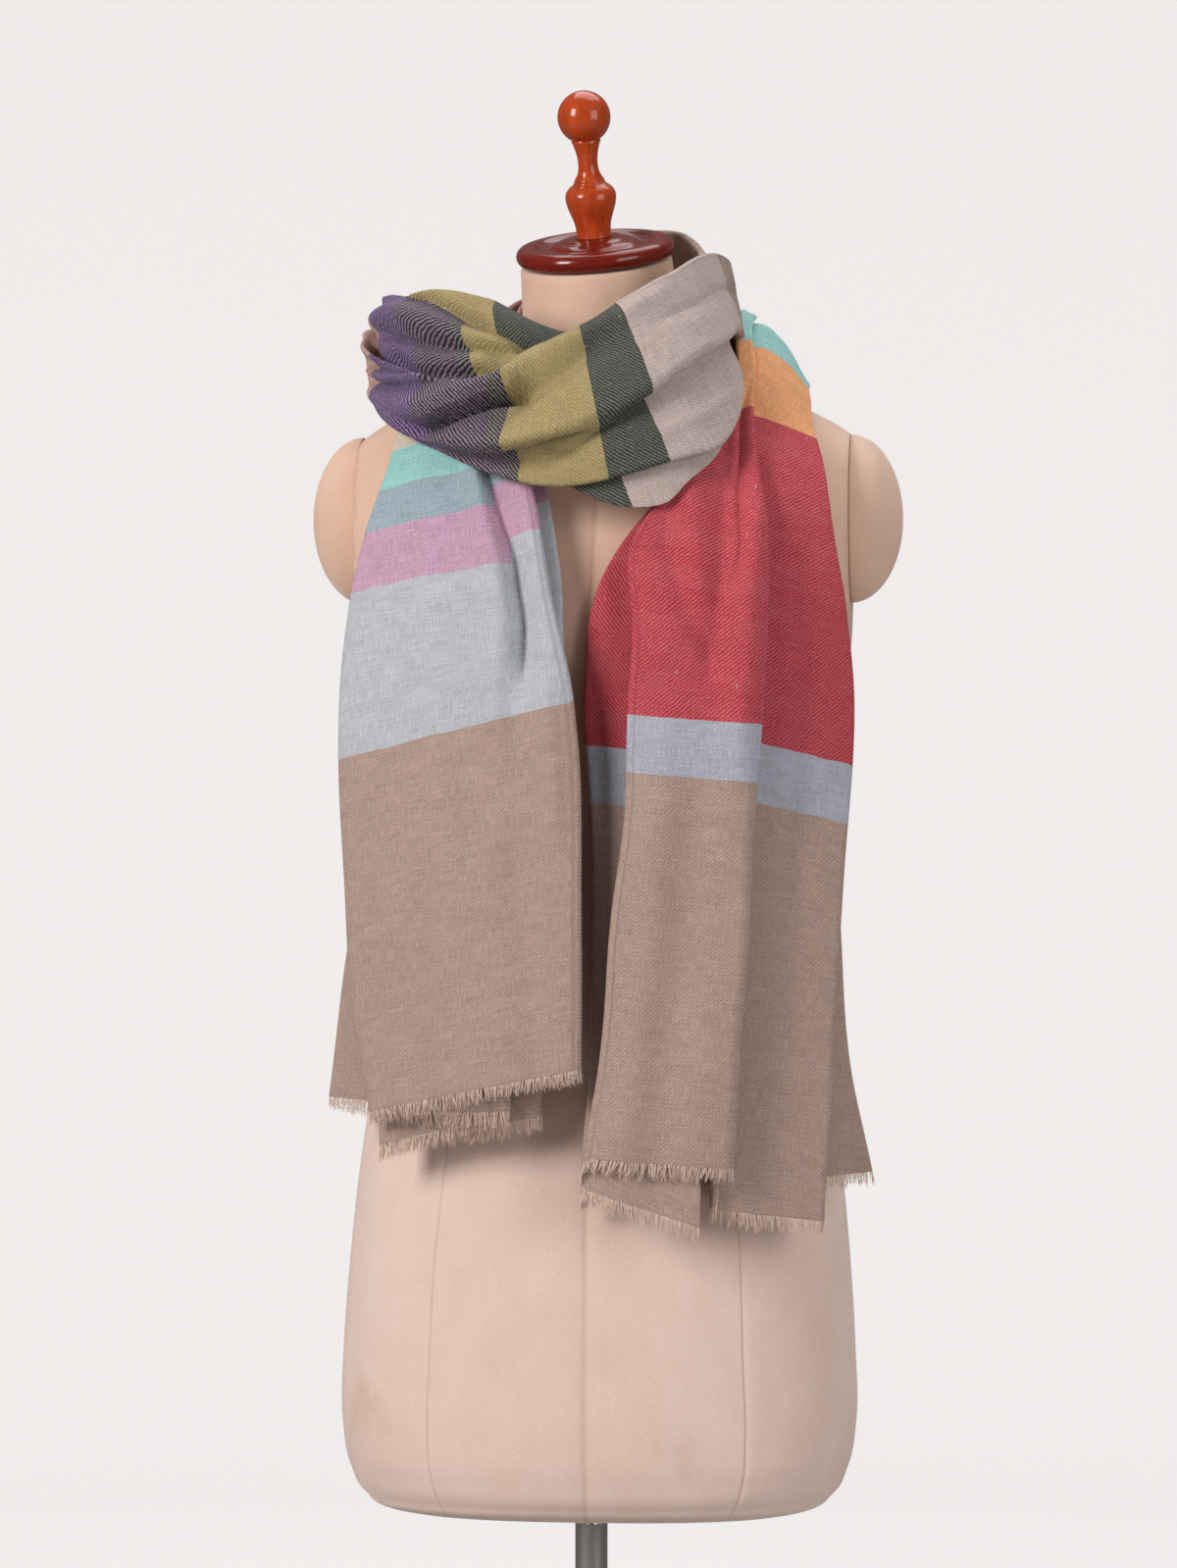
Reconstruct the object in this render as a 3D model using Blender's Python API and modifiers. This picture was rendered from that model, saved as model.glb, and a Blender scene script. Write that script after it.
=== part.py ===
"""Pashmina shawl wound once round the neck of a limbless dress form on a pole stand.

Units are metres in the scene; the tables below are in millimetres.  The pole's axis is Z,
the floor is z = 0, the form faces -Y and the viewer's right is +X.
"""

import math

import bmesh
import bpy
import numpy as np
from mathutils import Matrix, Vector

MM = 0.001
SEAM = 0.3  # clearance between neighbouring pieces

# ---------------------------------------------------------------- cloth sizes
CLOTH_WALL = 1.6
FRINGE_WALL = 1.0
FRINGE_STRIP = 2.2
FRINGE_LENGTH = 9.0
FRINGE_SEAM = 0.5
LOCKS_PER_HEM = 64
LAYER_QUADS = 2  # squares across one layer of the folded bundle
TURN_QUADS = 3  # squares round one fold between two layers
HEM_ROW_SPACING = 62.0  # rows along the hanging panels
PANEL_ROW_SPACING = 24.0  # rows over the shoulders
INNER_ROW_SPACING = 17.0
BAND_ROW_SPACING = 22.0
OUTER_ROW_SPACING = 26.0

# Route of the folded bundle from the left hem to the right hem.  x y z: middle of the
# innermost layer; nx ny nz: outward direction; bend: curvature across, 1/m; gap: layer pitch.
ROUTE_COLUMNS = ("x", "y", "z", "nx", "ny", "nz", "bend", "gap")
ROUTE = (
    # left panel, hem to shoulder
    (-62, -125, 815, -0.20, -0.98, 0.00, 3.4, 6.6),
    (-63, -125, 900, -0.20, -0.98, 0.00, 3.6, 6.6),
    (-66, -125, 1000, -0.21, -0.98, 0.00, 3.8, 6.6),
    (-70, -124, 1090, -0.22, -0.97, 0.02, 4.0, 6.2),
    (-74, -120, 1160, -0.24, -0.96, 0.12, 4.4, 5.6),
    (-77, -109, 1212, -0.25, -0.93, 0.26, 4.6, 5.0),
    (-79, -94, 1251, -0.26, -0.86, 0.44, 4.6, 4.4),
    (-81, -73, 1284, -0.30, -0.70, 0.65, 4.0, 4.0),
    (-83, -46, 1304, -0.34, -0.40, 0.86, 3.0, 3.8),
    (-84, -13, 1314, -0.35, -0.08, 0.93, 2.0, 3.8),
    # inner turn behind the neck
    (-81, 22, 1318.5, -0.38, 0.26, 0.88, 2.0, 3.8),
    (-69, 55, 1329, -0.46, 0.60, 0.64, 2.0, 3.8),
    (-42, 78, 1339, -0.38, 0.84, 0.38, 2.0, 4.0),
    (0, 87, 1347, 0.02, 1.00, 0.16, 2.0, 4.0),
    (42, 78, 1353, 0.48, 0.88, 0.06, 2.0, 4.0),
    (69, 50, 1356, 0.82, 0.56, 0.08, 3.0, 4.2),
    # front of the neck, right to left
    (82, 8, 1358, 0.98, 0.02, 0.12, 3.4, 3.8),
    (84, -43, 1351, 0.86, -0.32, 0.26, 3.0, 3.6),
    (78, -88, 1329, 0.62, -0.64, 0.38, 3.2, 4.2),
    (48, -121, 1306, 0.34, -0.82, 0.44, 3.6, 4.5),
    (4, -130, 1293, 0.03, -0.92, 0.39, 5.0, 4.7),
    (-42, -123, 1295, -0.26, -0.90, 0.34, 6.0, 4.4),
    (-86, -105, 1308, -0.52, -0.80, 0.30, 6.0, 3.9),
    (-117, -70, 1325, -0.80, -0.54, 0.26, 5.5, 3.5),
    (-132, -26, 1337, -0.97, -0.16, 0.20, 5.0, 3.3),
    # outer turn behind the neck
    (-131, 20, 1339, -0.96, 0.22, 0.16, 4.0, 3.5),
    (-113, 66, 1332, -0.76, 0.62, 0.18, 3.0, 3.8),
    (-75, 104, 1322, -0.44, 0.88, 0.20, 3.0, 4.2),
    (-24, 124, 1315, -0.10, 0.98, 0.22, 3.0, 4.4),
    (32, 124, 1313, 0.22, 0.94, 0.24, 3.0, 4.2),
    (80, 104, 1320, 0.52, 0.78, 0.32, 3.0, 3.6),
    (109, 72, 1330, 0.68, 0.52, 0.52, 2.0, 2.9),
    (120, 36, 1331, 0.66, 0.16, 0.74, 1.0, 2.6),
    # right panel, shoulder to hem
    (120, -2, 1320, 0.54, -0.10, 0.83, 1.0, 2.6),
    (118, -35, 1305.5, 0.42, -0.43, 0.79, 1.0, 2.5),
    (113, -63, 1284, 0.31, -0.69, 0.64, 1.6, 2.6),
    (110, -89, 1249, 0.27, -0.88, 0.38, 3.0, 3.2),
    (105, -107, 1210, 0.28, -0.94, 0.20, 4.2, 4.4),
    (99, -116, 1165, 0.28, -0.96, 0.08, 4.4, 6.0),
    (97, -120, 1100, 0.27, -0.96, 0.00, 4.2, 6.4),
    (96, -121, 1040, 0.26, -0.97, 0.00, 4.0, 6.6),
    (94, -121, 950, 0.25, -0.97, 0.00, 3.8, 6.6),
    (91, -121, 860, 0.24, -0.97, 0.00, 3.6, 6.6),
    (89, -121, 780, 0.23, -0.97, 0.00, 3.4, 6.6),
)

# Fold edges across the bundle, mm from its middle, + toward the neck.  The cloth runs
# tuck -> top -> foot -> under -> outer -> crest -> tail, a layer between each two.
FOLD_COLUMNS = ("tuck", "top", "foot", "under", "outer", "crest", "tail")
FOLDS = (
    (32, 69, -63, 24, -68, 42, -119),
    (34, 70, -75, 30, -81, 46, -106),
    (36, 73, -80, 34, -84, 54, -88),
    (28, 68, -78, 30, -82, 70, -80),
    (14, 47, -70, 22, -75, 68, -70),
    (2, 32, -57, 12, -62, 63, -56),
    (0, 27, -43, 8, -48, 56, -42),
    (0, 25, -34, 8, -38, 44, -34),
    (2, 24, -28, 8, -31, 36, -29),
    (4, 24, -25, 8, -27, 33, -26),
    (4, 26, -26, 8, -28, 34, -26),
    (8, 30, -26, 8, -30, 42, -27),
    (12, 38, -26, 8, -34, 48, -30),
    (16, 40, -24, 8, -38, 50, -34),
    (18, 42, -22, 8, -36, 60, -34),
    (18, 40, -20, 8, -32, 50, -30),
    (16, 36, -20, 8, -28, 40, -26),
    (20, 43, -11, 12, -21, 40, -18),
    (26, 54, -8, 20, -45, 46, -32),
    (32, 66, -4, 26, -80, 56, -44),
    (20, 54, -23, 14, -62, 52, -36),
    (-8, 26, -40, 0, -52, 58, -30),
    (-26, -3, -45, -14, -45, 63, -26),
    (-22, -5, -34, -12, -31, 49, -22),
    (-18, 1, -29, -8, -27, 42, -20),
    (-12, 10, -32, -6, -28, 44, -20),
    (-2, 22, -44, 2, -38, 52, -28),
    (6, 30, -50, 6, -50, 46, -38),
    (8, 33, -48, 6, -54, 40, -42),
    (8, 30, -44, 6, -54, 36, -44),
    (6, 24, -34, 5, -48, 32, -40),
    (6, 22, -16, 5, -42, 24, -36),
    (8, 20, -6, 6, -38, 16, -33),
    (8, 17, -3, 6, -36, 14, -31),
    (8, 16, -2, 7, -38, 14, -33),
    (8, 15, -2, 7, -46, 14, -41),
    (12, 27, -3, 12, -56, 29, -50),
    (20, 48, -12, 17, -69, 58, -62),
    (24, 54, -21, 13, -82, 72, -72),
    (26, 56, -24, 13, -88, 86, -78),
    (28, 60, -20, 14, -86, 85, -80),
    (32, 66, -17, 15, -81, 81, -86),
    (38, 72, -14, 16, -78, 81, -98),
    (48, 82, -12, 18, -74, 83, -118),
)
# How far each fold edge's hem lies along the route from the bundle's first and last station.
HEM_LEFT = (35, 43, 11, 13, -12, 10, 20)
HEM_RIGHT = (18, -18, -9, -4, 27, 11, -9)
LAYER_DEPTH = (4, 5, 3, 2, 1, 0)

# Cuts between the stretches, as route stations (fractions lie between two stations).
CUT_LEFT_SHOULDER = 9.0
CUT_RIGHT_NECK = 15.6
CUT_LEFT_NECK = 24.6
CUT_RIGHT_SHOULDER = 32.5

# ---------------------------------------------------------------- dress form sizes
# z, half width, half depth, centre x, centre y, squareness
TORSO_COLUMNS = ("z", "half_width", "half_depth", "centre_x", "centre_y", "power")
TORSO = (
    (550, 132, 80, 5.5, 0, 2.5),
    (553, 146, 92, 5.5, 0, 2.5),
    (562, 160, 104, 5.5, 0, 2.4),
    (580, 170, 112, 5.5, 0, 2.4),
    (610, 175.5, 117, 5.5, 0, 2.35),
    (660, 175, 118, 5.5, 0, 2.3),
    (720, 171, 116, 6, 0, 2.3),
    (790, 164, 111, 6.5, 0, 2.2),
    (860, 153, 103, 7, 0, 2.2),
    (930, 142, 96, 8, 0, 2.1),
    (990, 141, 96, 8.5, -1, 2.1),
    (1050, 148, 105, 9, -3, 2.1),
    (1110, 161, 115, 10, -5, 2.2),
    (1150, 172, 118, 10.5, -5, 2.2),
    (1180, 182, 115, 11, -3, 2.2),
    (1215, 190, 108, 12, -1, 2.3),
    (1245, 189, 97, 12, 2, 2.3),
    (1268, 178, 86, 12, 4, 2.3),
    (1284, 159, 76, 12, 5, 2.2),
    (1297, 135, 69, 11, 6, 2.1),
    (1308, 108, 64, 10.5, 6, 2.05),
    (1318, 80, 60, 10, 6, 2.0),
    (1326, 60, 57, 9.5, 6, 2.0),
)
TORSO_SIDES = 32
ARMHOLE_X = 166
ARMHOLE_CENTRE_X = 10.5
SHOULDER_CAP_HEIGHT = 57
SHOULDER_CAP_DEPTH = 50
SHOULDER_CAP_DOME = 35
SHOULDER_CAP_Z = 1222

NECK_BASE = (9, 6, 1326.3)
NECK_TOP = (3, 3, 1398)
NECK_BASE_RADIUS = 57
NECK_TOP_RADIUS = 51.5
NECK_TILT = 16
CAP_ROLL = 3.5

POLE_RADIUS = 11
POLE_FOOT_Z = 16
COLLAR_RADIUS = 19
COLLAR_HEIGHT = 10
BASE_RADIUS = 215
BASE_HEIGHT = 16

# ---------------------------------------------------------------- colours
CLOTH_COLOURS = {
    "panel_left": (0.42, 0.36, 0.31),
    "wrap_inner": (0.30, 0.21, 0.17),
    "band_front": (0.46, 0.42, 0.24),
    "wrap_outer": (0.34, 0.22, 0.17),
    "panel_right": (0.50, 0.10, 0.13),
    "fringe_left": (0.42, 0.36, 0.31),
    "fringe_right": (0.42, 0.36, 0.31),
}
COVER_COLOUR = (0.62, 0.47, 0.37)
WOOD_COLOUR = (0.30, 0.055, 0.015)
CAP_COLOUR = (0.16, 0.022, 0.010)
CHROME_COLOUR = (0.75, 0.75, 0.76)


def new_collection(name):
    """Make a collection under the scene."""
    collection = bpy.data.collections.new(name)
    bpy.context.scene.collection.children.link(collection)
    return collection


def new_material(name, colour, roughness, metallic):
    """Make a Principled material."""
    material = bpy.data.materials.new(name)
    material.use_nodes = True
    shader = material.node_tree.nodes["Principled BSDF"]
    shader.inputs["Base Color"].default_value = (*colour, 1.0)
    shader.inputs["Roughness"].default_value = roughness
    shader.inputs["Metallic"].default_value = metallic
    return material


def place(name, mesh, material, collection, parent):
    """Put a mesh in the scene as one named part."""
    mesh.materials.append(material)
    part = bpy.data.objects.new(name, mesh)
    collection.objects.link(part)
    part.parent = parent
    mesh.shade_smooth()
    mesh.set_sharp_from_angle(angle=math.radians(40))
    return part


# ---------------------------------------------------------------- smooth tables
def knot_slopes(knots, values):
    """Slopes for a smooth curve through the knots that does not overshoot them."""
    steps = np.diff(knots)
    rises = np.diff(values) / steps
    slopes = np.zeros(len(knots))
    slopes[0] = rises[0]
    slopes[-1] = rises[-1]
    for i in range(1, len(knots) - 1):
        if rises[i - 1] * rises[i] > 0.0:
            low = 2.0 * steps[i] + steps[i - 1]
            high = steps[i] + 2.0 * steps[i - 1]
            slopes[i] = (low + high) / (low / rises[i - 1] + high / rises[i])
    return slopes


def middle_slopes(knots, values):
    """Slopes for a rounder curve through the knots, for positions in space."""
    steps = np.diff(knots)
    rises = np.diff(values) / steps
    slopes = np.zeros(len(knots))
    slopes[0] = rises[0]
    slopes[-1] = rises[-1]
    for i in range(1, len(knots) - 1):
        share = steps[i - 1] / (steps[i - 1] + steps[i])
        slopes[i] = (1.0 - share) * rises[i - 1] + share * rises[i]
    return slopes


class SmoothTable:
    """Cubic curves through the columns of a table."""

    def __init__(self, knots, rows, slope_rule):
        self.knots = np.asarray(knots, dtype=float)
        self.rows = np.asarray(rows, dtype=float)
        columns = [slope_rule(self.knots, column) for column in self.rows.T]
        self.slopes = np.array(columns).T

    def at(self, place_along, carry_on=False):
        """Values at one place; past the ends they hold, or carry on straight."""
        low = self.knots[0]
        high = self.knots[-1]
        inside = min(max(place_along, low), high)
        index = int(np.searchsorted(self.knots, inside, side="right")) - 1
        index = min(max(index, 0), len(self.knots) - 2)
        step = self.knots[index + 1] - self.knots[index]
        u = (inside - self.knots[index]) / step
        start = self.rows[index] * (1 + 2 * u) * (1 - u) ** 2
        start = start + self.slopes[index] * step * u * (1 - u) ** 2
        end = self.rows[index + 1] * u * u * (3 - 2 * u)
        end = end + self.slopes[index + 1] * step * u * u * (u - 1)
        value = start + end
        if carry_on and place_along != inside:
            slope = self.slopes[0] if place_along < low else self.slopes[-1]
            value = value + slope * (place_along - inside)
        return value


# ---------------------------------------------------------------- the folded bundle
class Bundle:
    """The shawl as a flat-folded strip swept along its route."""

    def __init__(self):
        route = np.array(ROUTE, dtype=float)
        chords = np.linalg.norm(np.diff(route[:, :3], axis=0), axis=1)
        self.knots = np.concatenate(([0.0], np.cumsum(chords)))
        self.length = self.knots[-1]
        self.centre = SmoothTable(self.knots, route[:, :3], middle_slopes)
        self.outward = SmoothTable(self.knots, route[:, 3:6], middle_slopes)
        self.shape = SmoothTable(self.knots, route[:, 6:8], knot_slopes)
        self.folds = SmoothTable(self.knots, FOLDS, knot_slopes)

    def station(self, number):
        """Distance along the route of a station number, which may be a fraction."""
        index = min(int(number), len(self.knots) - 2)
        share = number - index
        return self.knots[index] + share * (self.knots[index + 1] - self.knots[index])

    def frame(self, along):
        """Middle, forward, outward and across directions at a distance along the route."""
        middle = self.centre.at(along, carry_on=True)
        ahead = self.centre.at(along + 1.0, carry_on=True)
        behind = self.centre.at(along - 1.0, carry_on=True)
        forward = (ahead - behind) / np.linalg.norm(ahead - behind)
        outward = self.outward.at(along)
        outward = outward - forward * np.dot(outward, forward)
        outward = outward / np.linalg.norm(outward)
        return middle, forward, outward, np.cross(forward, outward)

    def point(self, along, across, depth):
        """A point of the bundle: across from its middle and out from its inner layer."""
        middle, _, outward, side = self.frame(along)
        bend = self.shape.at(along)[0] * MM
        angle = across * bend
        sideways = math.sin(angle) / bend + depth * math.sin(angle)
        out = (math.cos(angle) - 1.0) / bend + depth * math.cos(angle)
        return middle + side * sideways + outward * out


def folded_section(edges, pitch, layer_quads, turn_quads):
    """Across and depth of the folded section's points, with each point's place in the
    order of fold edges (0 at the tuck, 6 at the tail)."""
    points = []
    last = len(LAYER_DEPTH) - 1
    for layer, level in enumerate(LAYER_DEPTH):
        heading = 1.0 if edges[layer + 1] > edges[layer] else -1.0
        start_radius = 0.0
        end_radius = 0.0
        if layer > 0:
            start_radius = abs(level - LAYER_DEPTH[layer - 1]) * pitch / 2
        if layer < last:
            end_radius = abs(level - LAYER_DEPTH[layer + 1]) * pitch / 2
        start = edges[layer] + heading * start_radius
        end = edges[layer + 1] - heading * end_radius
        first = 0 if layer == 0 else 1
        for step in range(first, layer_quads + 1):
            share = step / layer_quads
            across = start + (end - start) * share
            points.append((across, level * pitch, layer + 0.08 + 0.84 * share))
        if layer == last:
            break
        next_level = LAYER_DEPTH[layer + 1]
        centre = (level + next_level) * pitch / 2
        for step in range(1, turn_quads + 1):
            turn = math.pi * step / turn_quads
            across = end + heading * end_radius * math.sin(turn)
            depth = centre + (level - next_level) * pitch / 2 * math.cos(turn)
            points.append((across, depth, layer + 0.92 + 0.16 * step / turn_quads))
    return points


def hem_offset(hem, order):
    """How far along the route the hem lies at a place in the order of fold edges."""
    index = min(int(order), len(hem) - 2)
    return hem[index] + (hem[index + 1] - hem[index]) * (order - index)


def row_of_points(bundle, along_for, layer_quads=LAYER_QUADS, turn_quads=TURN_QUADS):
    """One row of the surface; along_for gives the distance from a point's order."""
    probe = folded_section(FOLDS[0], 5.0, layer_quads, turn_quads)
    row = []
    for index, (_, _, order) in enumerate(probe):
        along = along_for(order)
        inside = min(max(along, 0.0), bundle.length)
        edges = bundle.folds.at(inside)
        pitch = bundle.shape.at(inside)[1]
        across, depth, _ = folded_section(edges, pitch, layer_quads, turn_quads)[index]
        row.append(bundle.point(along, across, depth) * MM)
    return row


def grid_mesh(name, rows):
    """A surface through rows of points, all with the same count.  Each square is split the
    same way in space on every layer, so stacked layers stay parallel."""
    surface = bmesh.new()
    verts = [[surface.verts.new(Vector(point)) for point in row] for row in rows]
    run = LAYER_QUADS + TURN_QUADS
    for lower, upper in zip(verts, verts[1:]):
        for index in range(len(lower) - 1):
            a, b, c, d = lower[index], lower[index + 1], upper[index + 1], upper[index]
            if (index // run) % 2 == 0:
                surface.faces.new((a, b, c))
                surface.faces.new((a, c, d))
            else:
                surface.faces.new((a, b, d))
                surface.faces.new((b, c, d))
    mesh = bpy.data.meshes.new(name)
    surface.to_mesh(mesh)
    surface.free()
    return mesh


def thicken(part, wall):
    """Give a surface its wall."""
    solidify = part.modifiers.new("Wall", "SOLIDIFY")
    solidify.thickness = wall * MM
    solidify.offset = 0.0
    solidify.use_rim = True
    solidify.use_even_offset = False


def rows_between(start, end, spacing):
    """Evenly spaced shares from 0 to 1 with about the given spacing."""
    count = max(2, int(round((end - start) / spacing)))
    return [index / count for index in range(count + 1)]


def build_cloth(bundle, collection, parent):
    """The five stretches of the shawl and the two fringes."""
    left_shoulder = bundle.station(CUT_LEFT_SHOULDER)
    right_neck = bundle.station(CUT_RIGHT_NECK)
    left_neck = bundle.station(CUT_LEFT_NECK)
    right_shoulder = bundle.station(CUT_RIGHT_SHOULDER)
    bust_left = bundle.station(4)
    bust_right = bundle.station(len(ROUTE) - 6)
    half_seam = SEAM / 2
    end = bundle.length

    def plain_rows(start, finish, spacing):
        """Rows square to the route between two distances."""
        rows = []
        for share in rows_between(start, finish, spacing):
            along = start + (finish - start) * share
            rows.append(row_of_points(bundle, lambda order, at=along: at))
        return rows

    def hem_left_rows():
        """Rows fanning from the left hem to the bust."""
        rows = []
        for share in rows_between(0.0, bust_left, HEM_ROW_SPACING)[:-1]:
            def along(order, part=share):
                low = hem_offset(HEM_LEFT, order)
                return low + (bust_left - low) * part
            rows.append(row_of_points(bundle, along))
        return rows

    def hem_right_rows():
        """Rows fanning from the bust to the right hem."""
        rows = []
        for share in rows_between(bust_right, end, HEM_ROW_SPACING)[1:]:
            def along(order, part=share):
                high = end + hem_offset(HEM_RIGHT, order)
                return bust_right + (high - bust_right) * part
            rows.append(row_of_points(bundle, along))
        return rows

    stretches = {
        "panel_left": hem_left_rows()
        + plain_rows(bust_left, left_shoulder - half_seam, PANEL_ROW_SPACING),
        "wrap_inner": plain_rows(
            left_shoulder + half_seam, right_neck - half_seam, INNER_ROW_SPACING
        ),
        "band_front": plain_rows(
            right_neck + half_seam, left_neck - half_seam, BAND_ROW_SPACING
        ),
        "wrap_outer": plain_rows(
            left_neck + half_seam, right_shoulder - half_seam, OUTER_ROW_SPACING
        ),
        "panel_right": plain_rows(
            right_shoulder + half_seam, bust_right, PANEL_ROW_SPACING
        )
        + hem_right_rows(),
    }
    for name, rows in stretches.items():
        material = new_material(name + "_cloth", CLOTH_COLOURS[name], 0.85, 0.0)
        part = place(name, grid_mesh(name, rows), material, collection, parent)
        thicken(part, CLOTH_WALL)
    for name, hem, origin, sense in (
        ("fringe_left", HEM_LEFT, 0.0, -1.0),
        ("fringe_right", HEM_RIGHT, end, 1.0),
    ):
        build_fringe(bundle, name, hem, origin, sense, collection, parent)


def build_fringe(bundle, name, hem, origin, sense, collection, parent):
    """A narrow strip along one hem with tapered locks below it."""
    strip_rows = []
    for reach in (FRINGE_SEAM, FRINGE_SEAM + FRINGE_STRIP):
        def along(order, by=reach):
            return origin + hem_offset(hem, order) + sense * by
        strip_rows.append(row_of_points(bundle, along))
    top = np.array(strip_rows[0])
    bottom = np.array(strip_rows[1])
    lengths = np.concatenate(([0.0], np.cumsum(np.linalg.norm(np.diff(bottom, axis=0), axis=1))))
    slots = 2 * LOCKS_PER_HEM - 1
    marks = np.linspace(0.0, lengths[-1], slots + 1)
    top_line = np.array([np.interp(marks, lengths, top[:, axis]) for axis in range(3)]).T
    low_line = np.array([np.interp(marks, lengths, bottom[:, axis]) for axis in range(3)]).T
    surface = bmesh.new()
    upper = [surface.verts.new(Vector(point)) for point in top_line]
    lower = [surface.verts.new(Vector(point)) for point in low_line]
    for index in range(slots):
        corners = (upper[index], upper[index + 1], lower[index + 1], lower[index])
        surface.faces.new(corners)
        if index % 2 == 0:
            middle = (low_line[index] + low_line[index + 1]) / 2
            root = (top_line[index] + top_line[index + 1]) / 2
            fall = (middle - root) / np.linalg.norm(middle - root)
            stretch = FRINGE_LENGTH * (0.85 + 0.15 * math.sin(index * 1.7))
            tip = surface.verts.new(Vector(middle + fall * stretch * MM))
            surface.faces.new((lower[index], lower[index + 1], tip))
    mesh = bpy.data.meshes.new(name)
    surface.to_mesh(mesh)
    surface.free()
    material = new_material(name + "_yarn", CLOTH_COLOURS[name], 0.9, 0.0)
    part = place(name, mesh, material, collection, parent)
    thicken(part, FRINGE_WALL)


# ---------------------------------------------------------------- the dress form
def torso_outline(row, sides):
    """One closed level outline of the torso."""
    z, half_width, half_depth, centre_x, centre_y, power = row
    outline = []
    for index in range(sides):
        turn = 2 * math.pi * index / sides
        cosine = math.cos(turn)
        sine = math.sin(turn)
        x = centre_x + half_width * math.copysign(abs(cosine) ** (2 / power), cosine)
        y = centre_y + half_depth * math.copysign(abs(sine) ** (2 / power), sine)
        outline.append(Vector((x, y, z)) * MM)
    return outline


def closed_loft(name, outlines):
    """A solid through closed outlines, with flat ends."""
    shape = bmesh.new()
    rings = [[shape.verts.new(point) for point in outline] for outline in outlines]
    count = len(rings[0])
    for lower, upper in zip(rings, rings[1:]):
        for index in range(count):
            after = (index + 1) % count
            shape.faces.new((lower[index], lower[after], upper[after], upper[index]))
    shape.faces.new(list(reversed(rings[0])))
    shape.faces.new(rings[-1])
    return shape


def build_torso(collection, parent, material):
    """The torso, cut flat at both armholes."""
    shape = closed_loft("torso", [torso_outline(row, TORSO_SIDES) for row in TORSO])
    for sense in (-1.0, 1.0):
        plane = Vector(((ARMHOLE_CENTRE_X + sense * ARMHOLE_X) * MM, 0, 0))
        every = shape.verts[:] + shape.edges[:] + shape.faces[:]
        bmesh.ops.bisect_plane(
            shape,
            geom=every,
            dist=0.00001,
            plane_co=plane,
            plane_no=Vector((sense, 0, 0)),
            clear_outer=True,
        )
        rim = [edge for edge in shape.edges if edge.is_boundary]
        bmesh.ops.holes_fill(shape, edges=rim, sides=0)
    bmesh.ops.recalc_face_normals(shape, faces=shape.faces[:])
    mesh = bpy.data.meshes.new("torso")
    shape.to_mesh(mesh)
    shape.free()
    place("torso", mesh, material, collection, parent)


def build_shoulder_caps(collection, parent, material):
    """The rounded ends that close the two armholes."""
    for name, sense in (("shoulder_cap_left", -1.0), ("shoulder_cap_right", 1.0)):
        shape = bmesh.new()
        bmesh.ops.create_uvsphere(shape, u_segments=20, v_segments=10, radius=1.0)
        every = shape.verts[:] + shape.edges[:] + shape.faces[:]
        bmesh.ops.bisect_plane(
            shape,
            geom=every,
            dist=0.00001,
            plane_co=Vector((0, 0, 0)),
            plane_no=Vector((0, 0, -1)),
            clear_outer=True,
        )
        bmesh.ops.holes_fill(shape, edges=[e for e in shape.edges if e.is_boundary], sides=0)
        scale = (SHOULDER_CAP_HEIGHT * MM, SHOULDER_CAP_DEPTH * MM, SHOULDER_CAP_DOME * MM)
        bmesh.ops.scale(shape, vec=scale, verts=shape.verts[:])
        turn = Matrix.Rotation(math.radians(90.0 * sense), 3, "Y")
        bmesh.ops.rotate(shape, matrix=turn, verts=shape.verts[:])
        bmesh.ops.recalc_face_normals(shape, faces=shape.faces[:])
        mesh = bpy.data.meshes.new(name)
        shape.to_mesh(mesh)
        shape.free()
        part = place(name, mesh, material, collection, parent)
        reach = ARMHOLE_CENTRE_X + sense * (ARMHOLE_X + SEAM)
        part.location = (reach * MM, 4 * MM, SHOULDER_CAP_Z * MM)


def build_neck(collection, parent, material):
    """The neck, from the level shoulder seam up to the tilted wooden cap."""
    outlines = []
    rings = 4
    sides = 32
    for ring in range(rings + 1):
        share = ring / rings
        radius = NECK_BASE_RADIUS + (NECK_TOP_RADIUS - NECK_BASE_RADIUS) * share ** 0.6
        centre = Vector(NECK_BASE).lerp(Vector(NECK_TOP), share)
        tilt = math.tan(math.radians(NECK_TILT)) * share
        roll = math.tan(math.radians(CAP_ROLL)) * share
        outline = []
        for index in range(sides):
            turn = 2 * math.pi * index / sides
            x = radius * math.cos(turn)
            y = radius * math.sin(turn)
            z = y * tilt + x * roll
            outline.append((centre + Vector((x, y, z))) * MM)
        outlines.append(outline)
    shape = closed_loft("neck", outlines)
    bmesh.ops.recalc_face_normals(shape, faces=shape.faces[:])
    mesh = bpy.data.meshes.new("neck")
    shape.to_mesh(mesh)
    shape.free()
    place("neck", mesh, material, collection, parent)


def turned(name, profile, sides, material, collection, parent):
    """A turned piece from radius and height pairs, listed top to bottom."""
    outline = bpy.data.meshes.new(name)
    verts = [(radius * MM, 0.0, height * MM) for radius, height in profile]
    edges = [(index, index + 1) for index in range(len(profile) - 1)]
    outline.from_pydata(verts, edges, [])
    part = place(name, outline, material, collection, parent)
    screw = part.modifiers.new("Turn", "SCREW")
    screw.steps = sides
    screw.render_steps = sides
    screw.use_merge_vertices = True
    screw.merge_threshold = 0.00001
    screw.use_smooth_shade = True
    return part


def arc(centre_radius, centre_height, radius, start, end, count):
    """Points of a circular arc in a turned profile, angles in degrees from level."""
    points = []
    for index in range(count + 1):
        angle = math.radians(start + (end - start) * index / count)
        across = centre_radius + radius * math.cos(angle)
        points.append((max(across, 0.0), centre_height + radius * math.sin(angle)))
    return points


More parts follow.
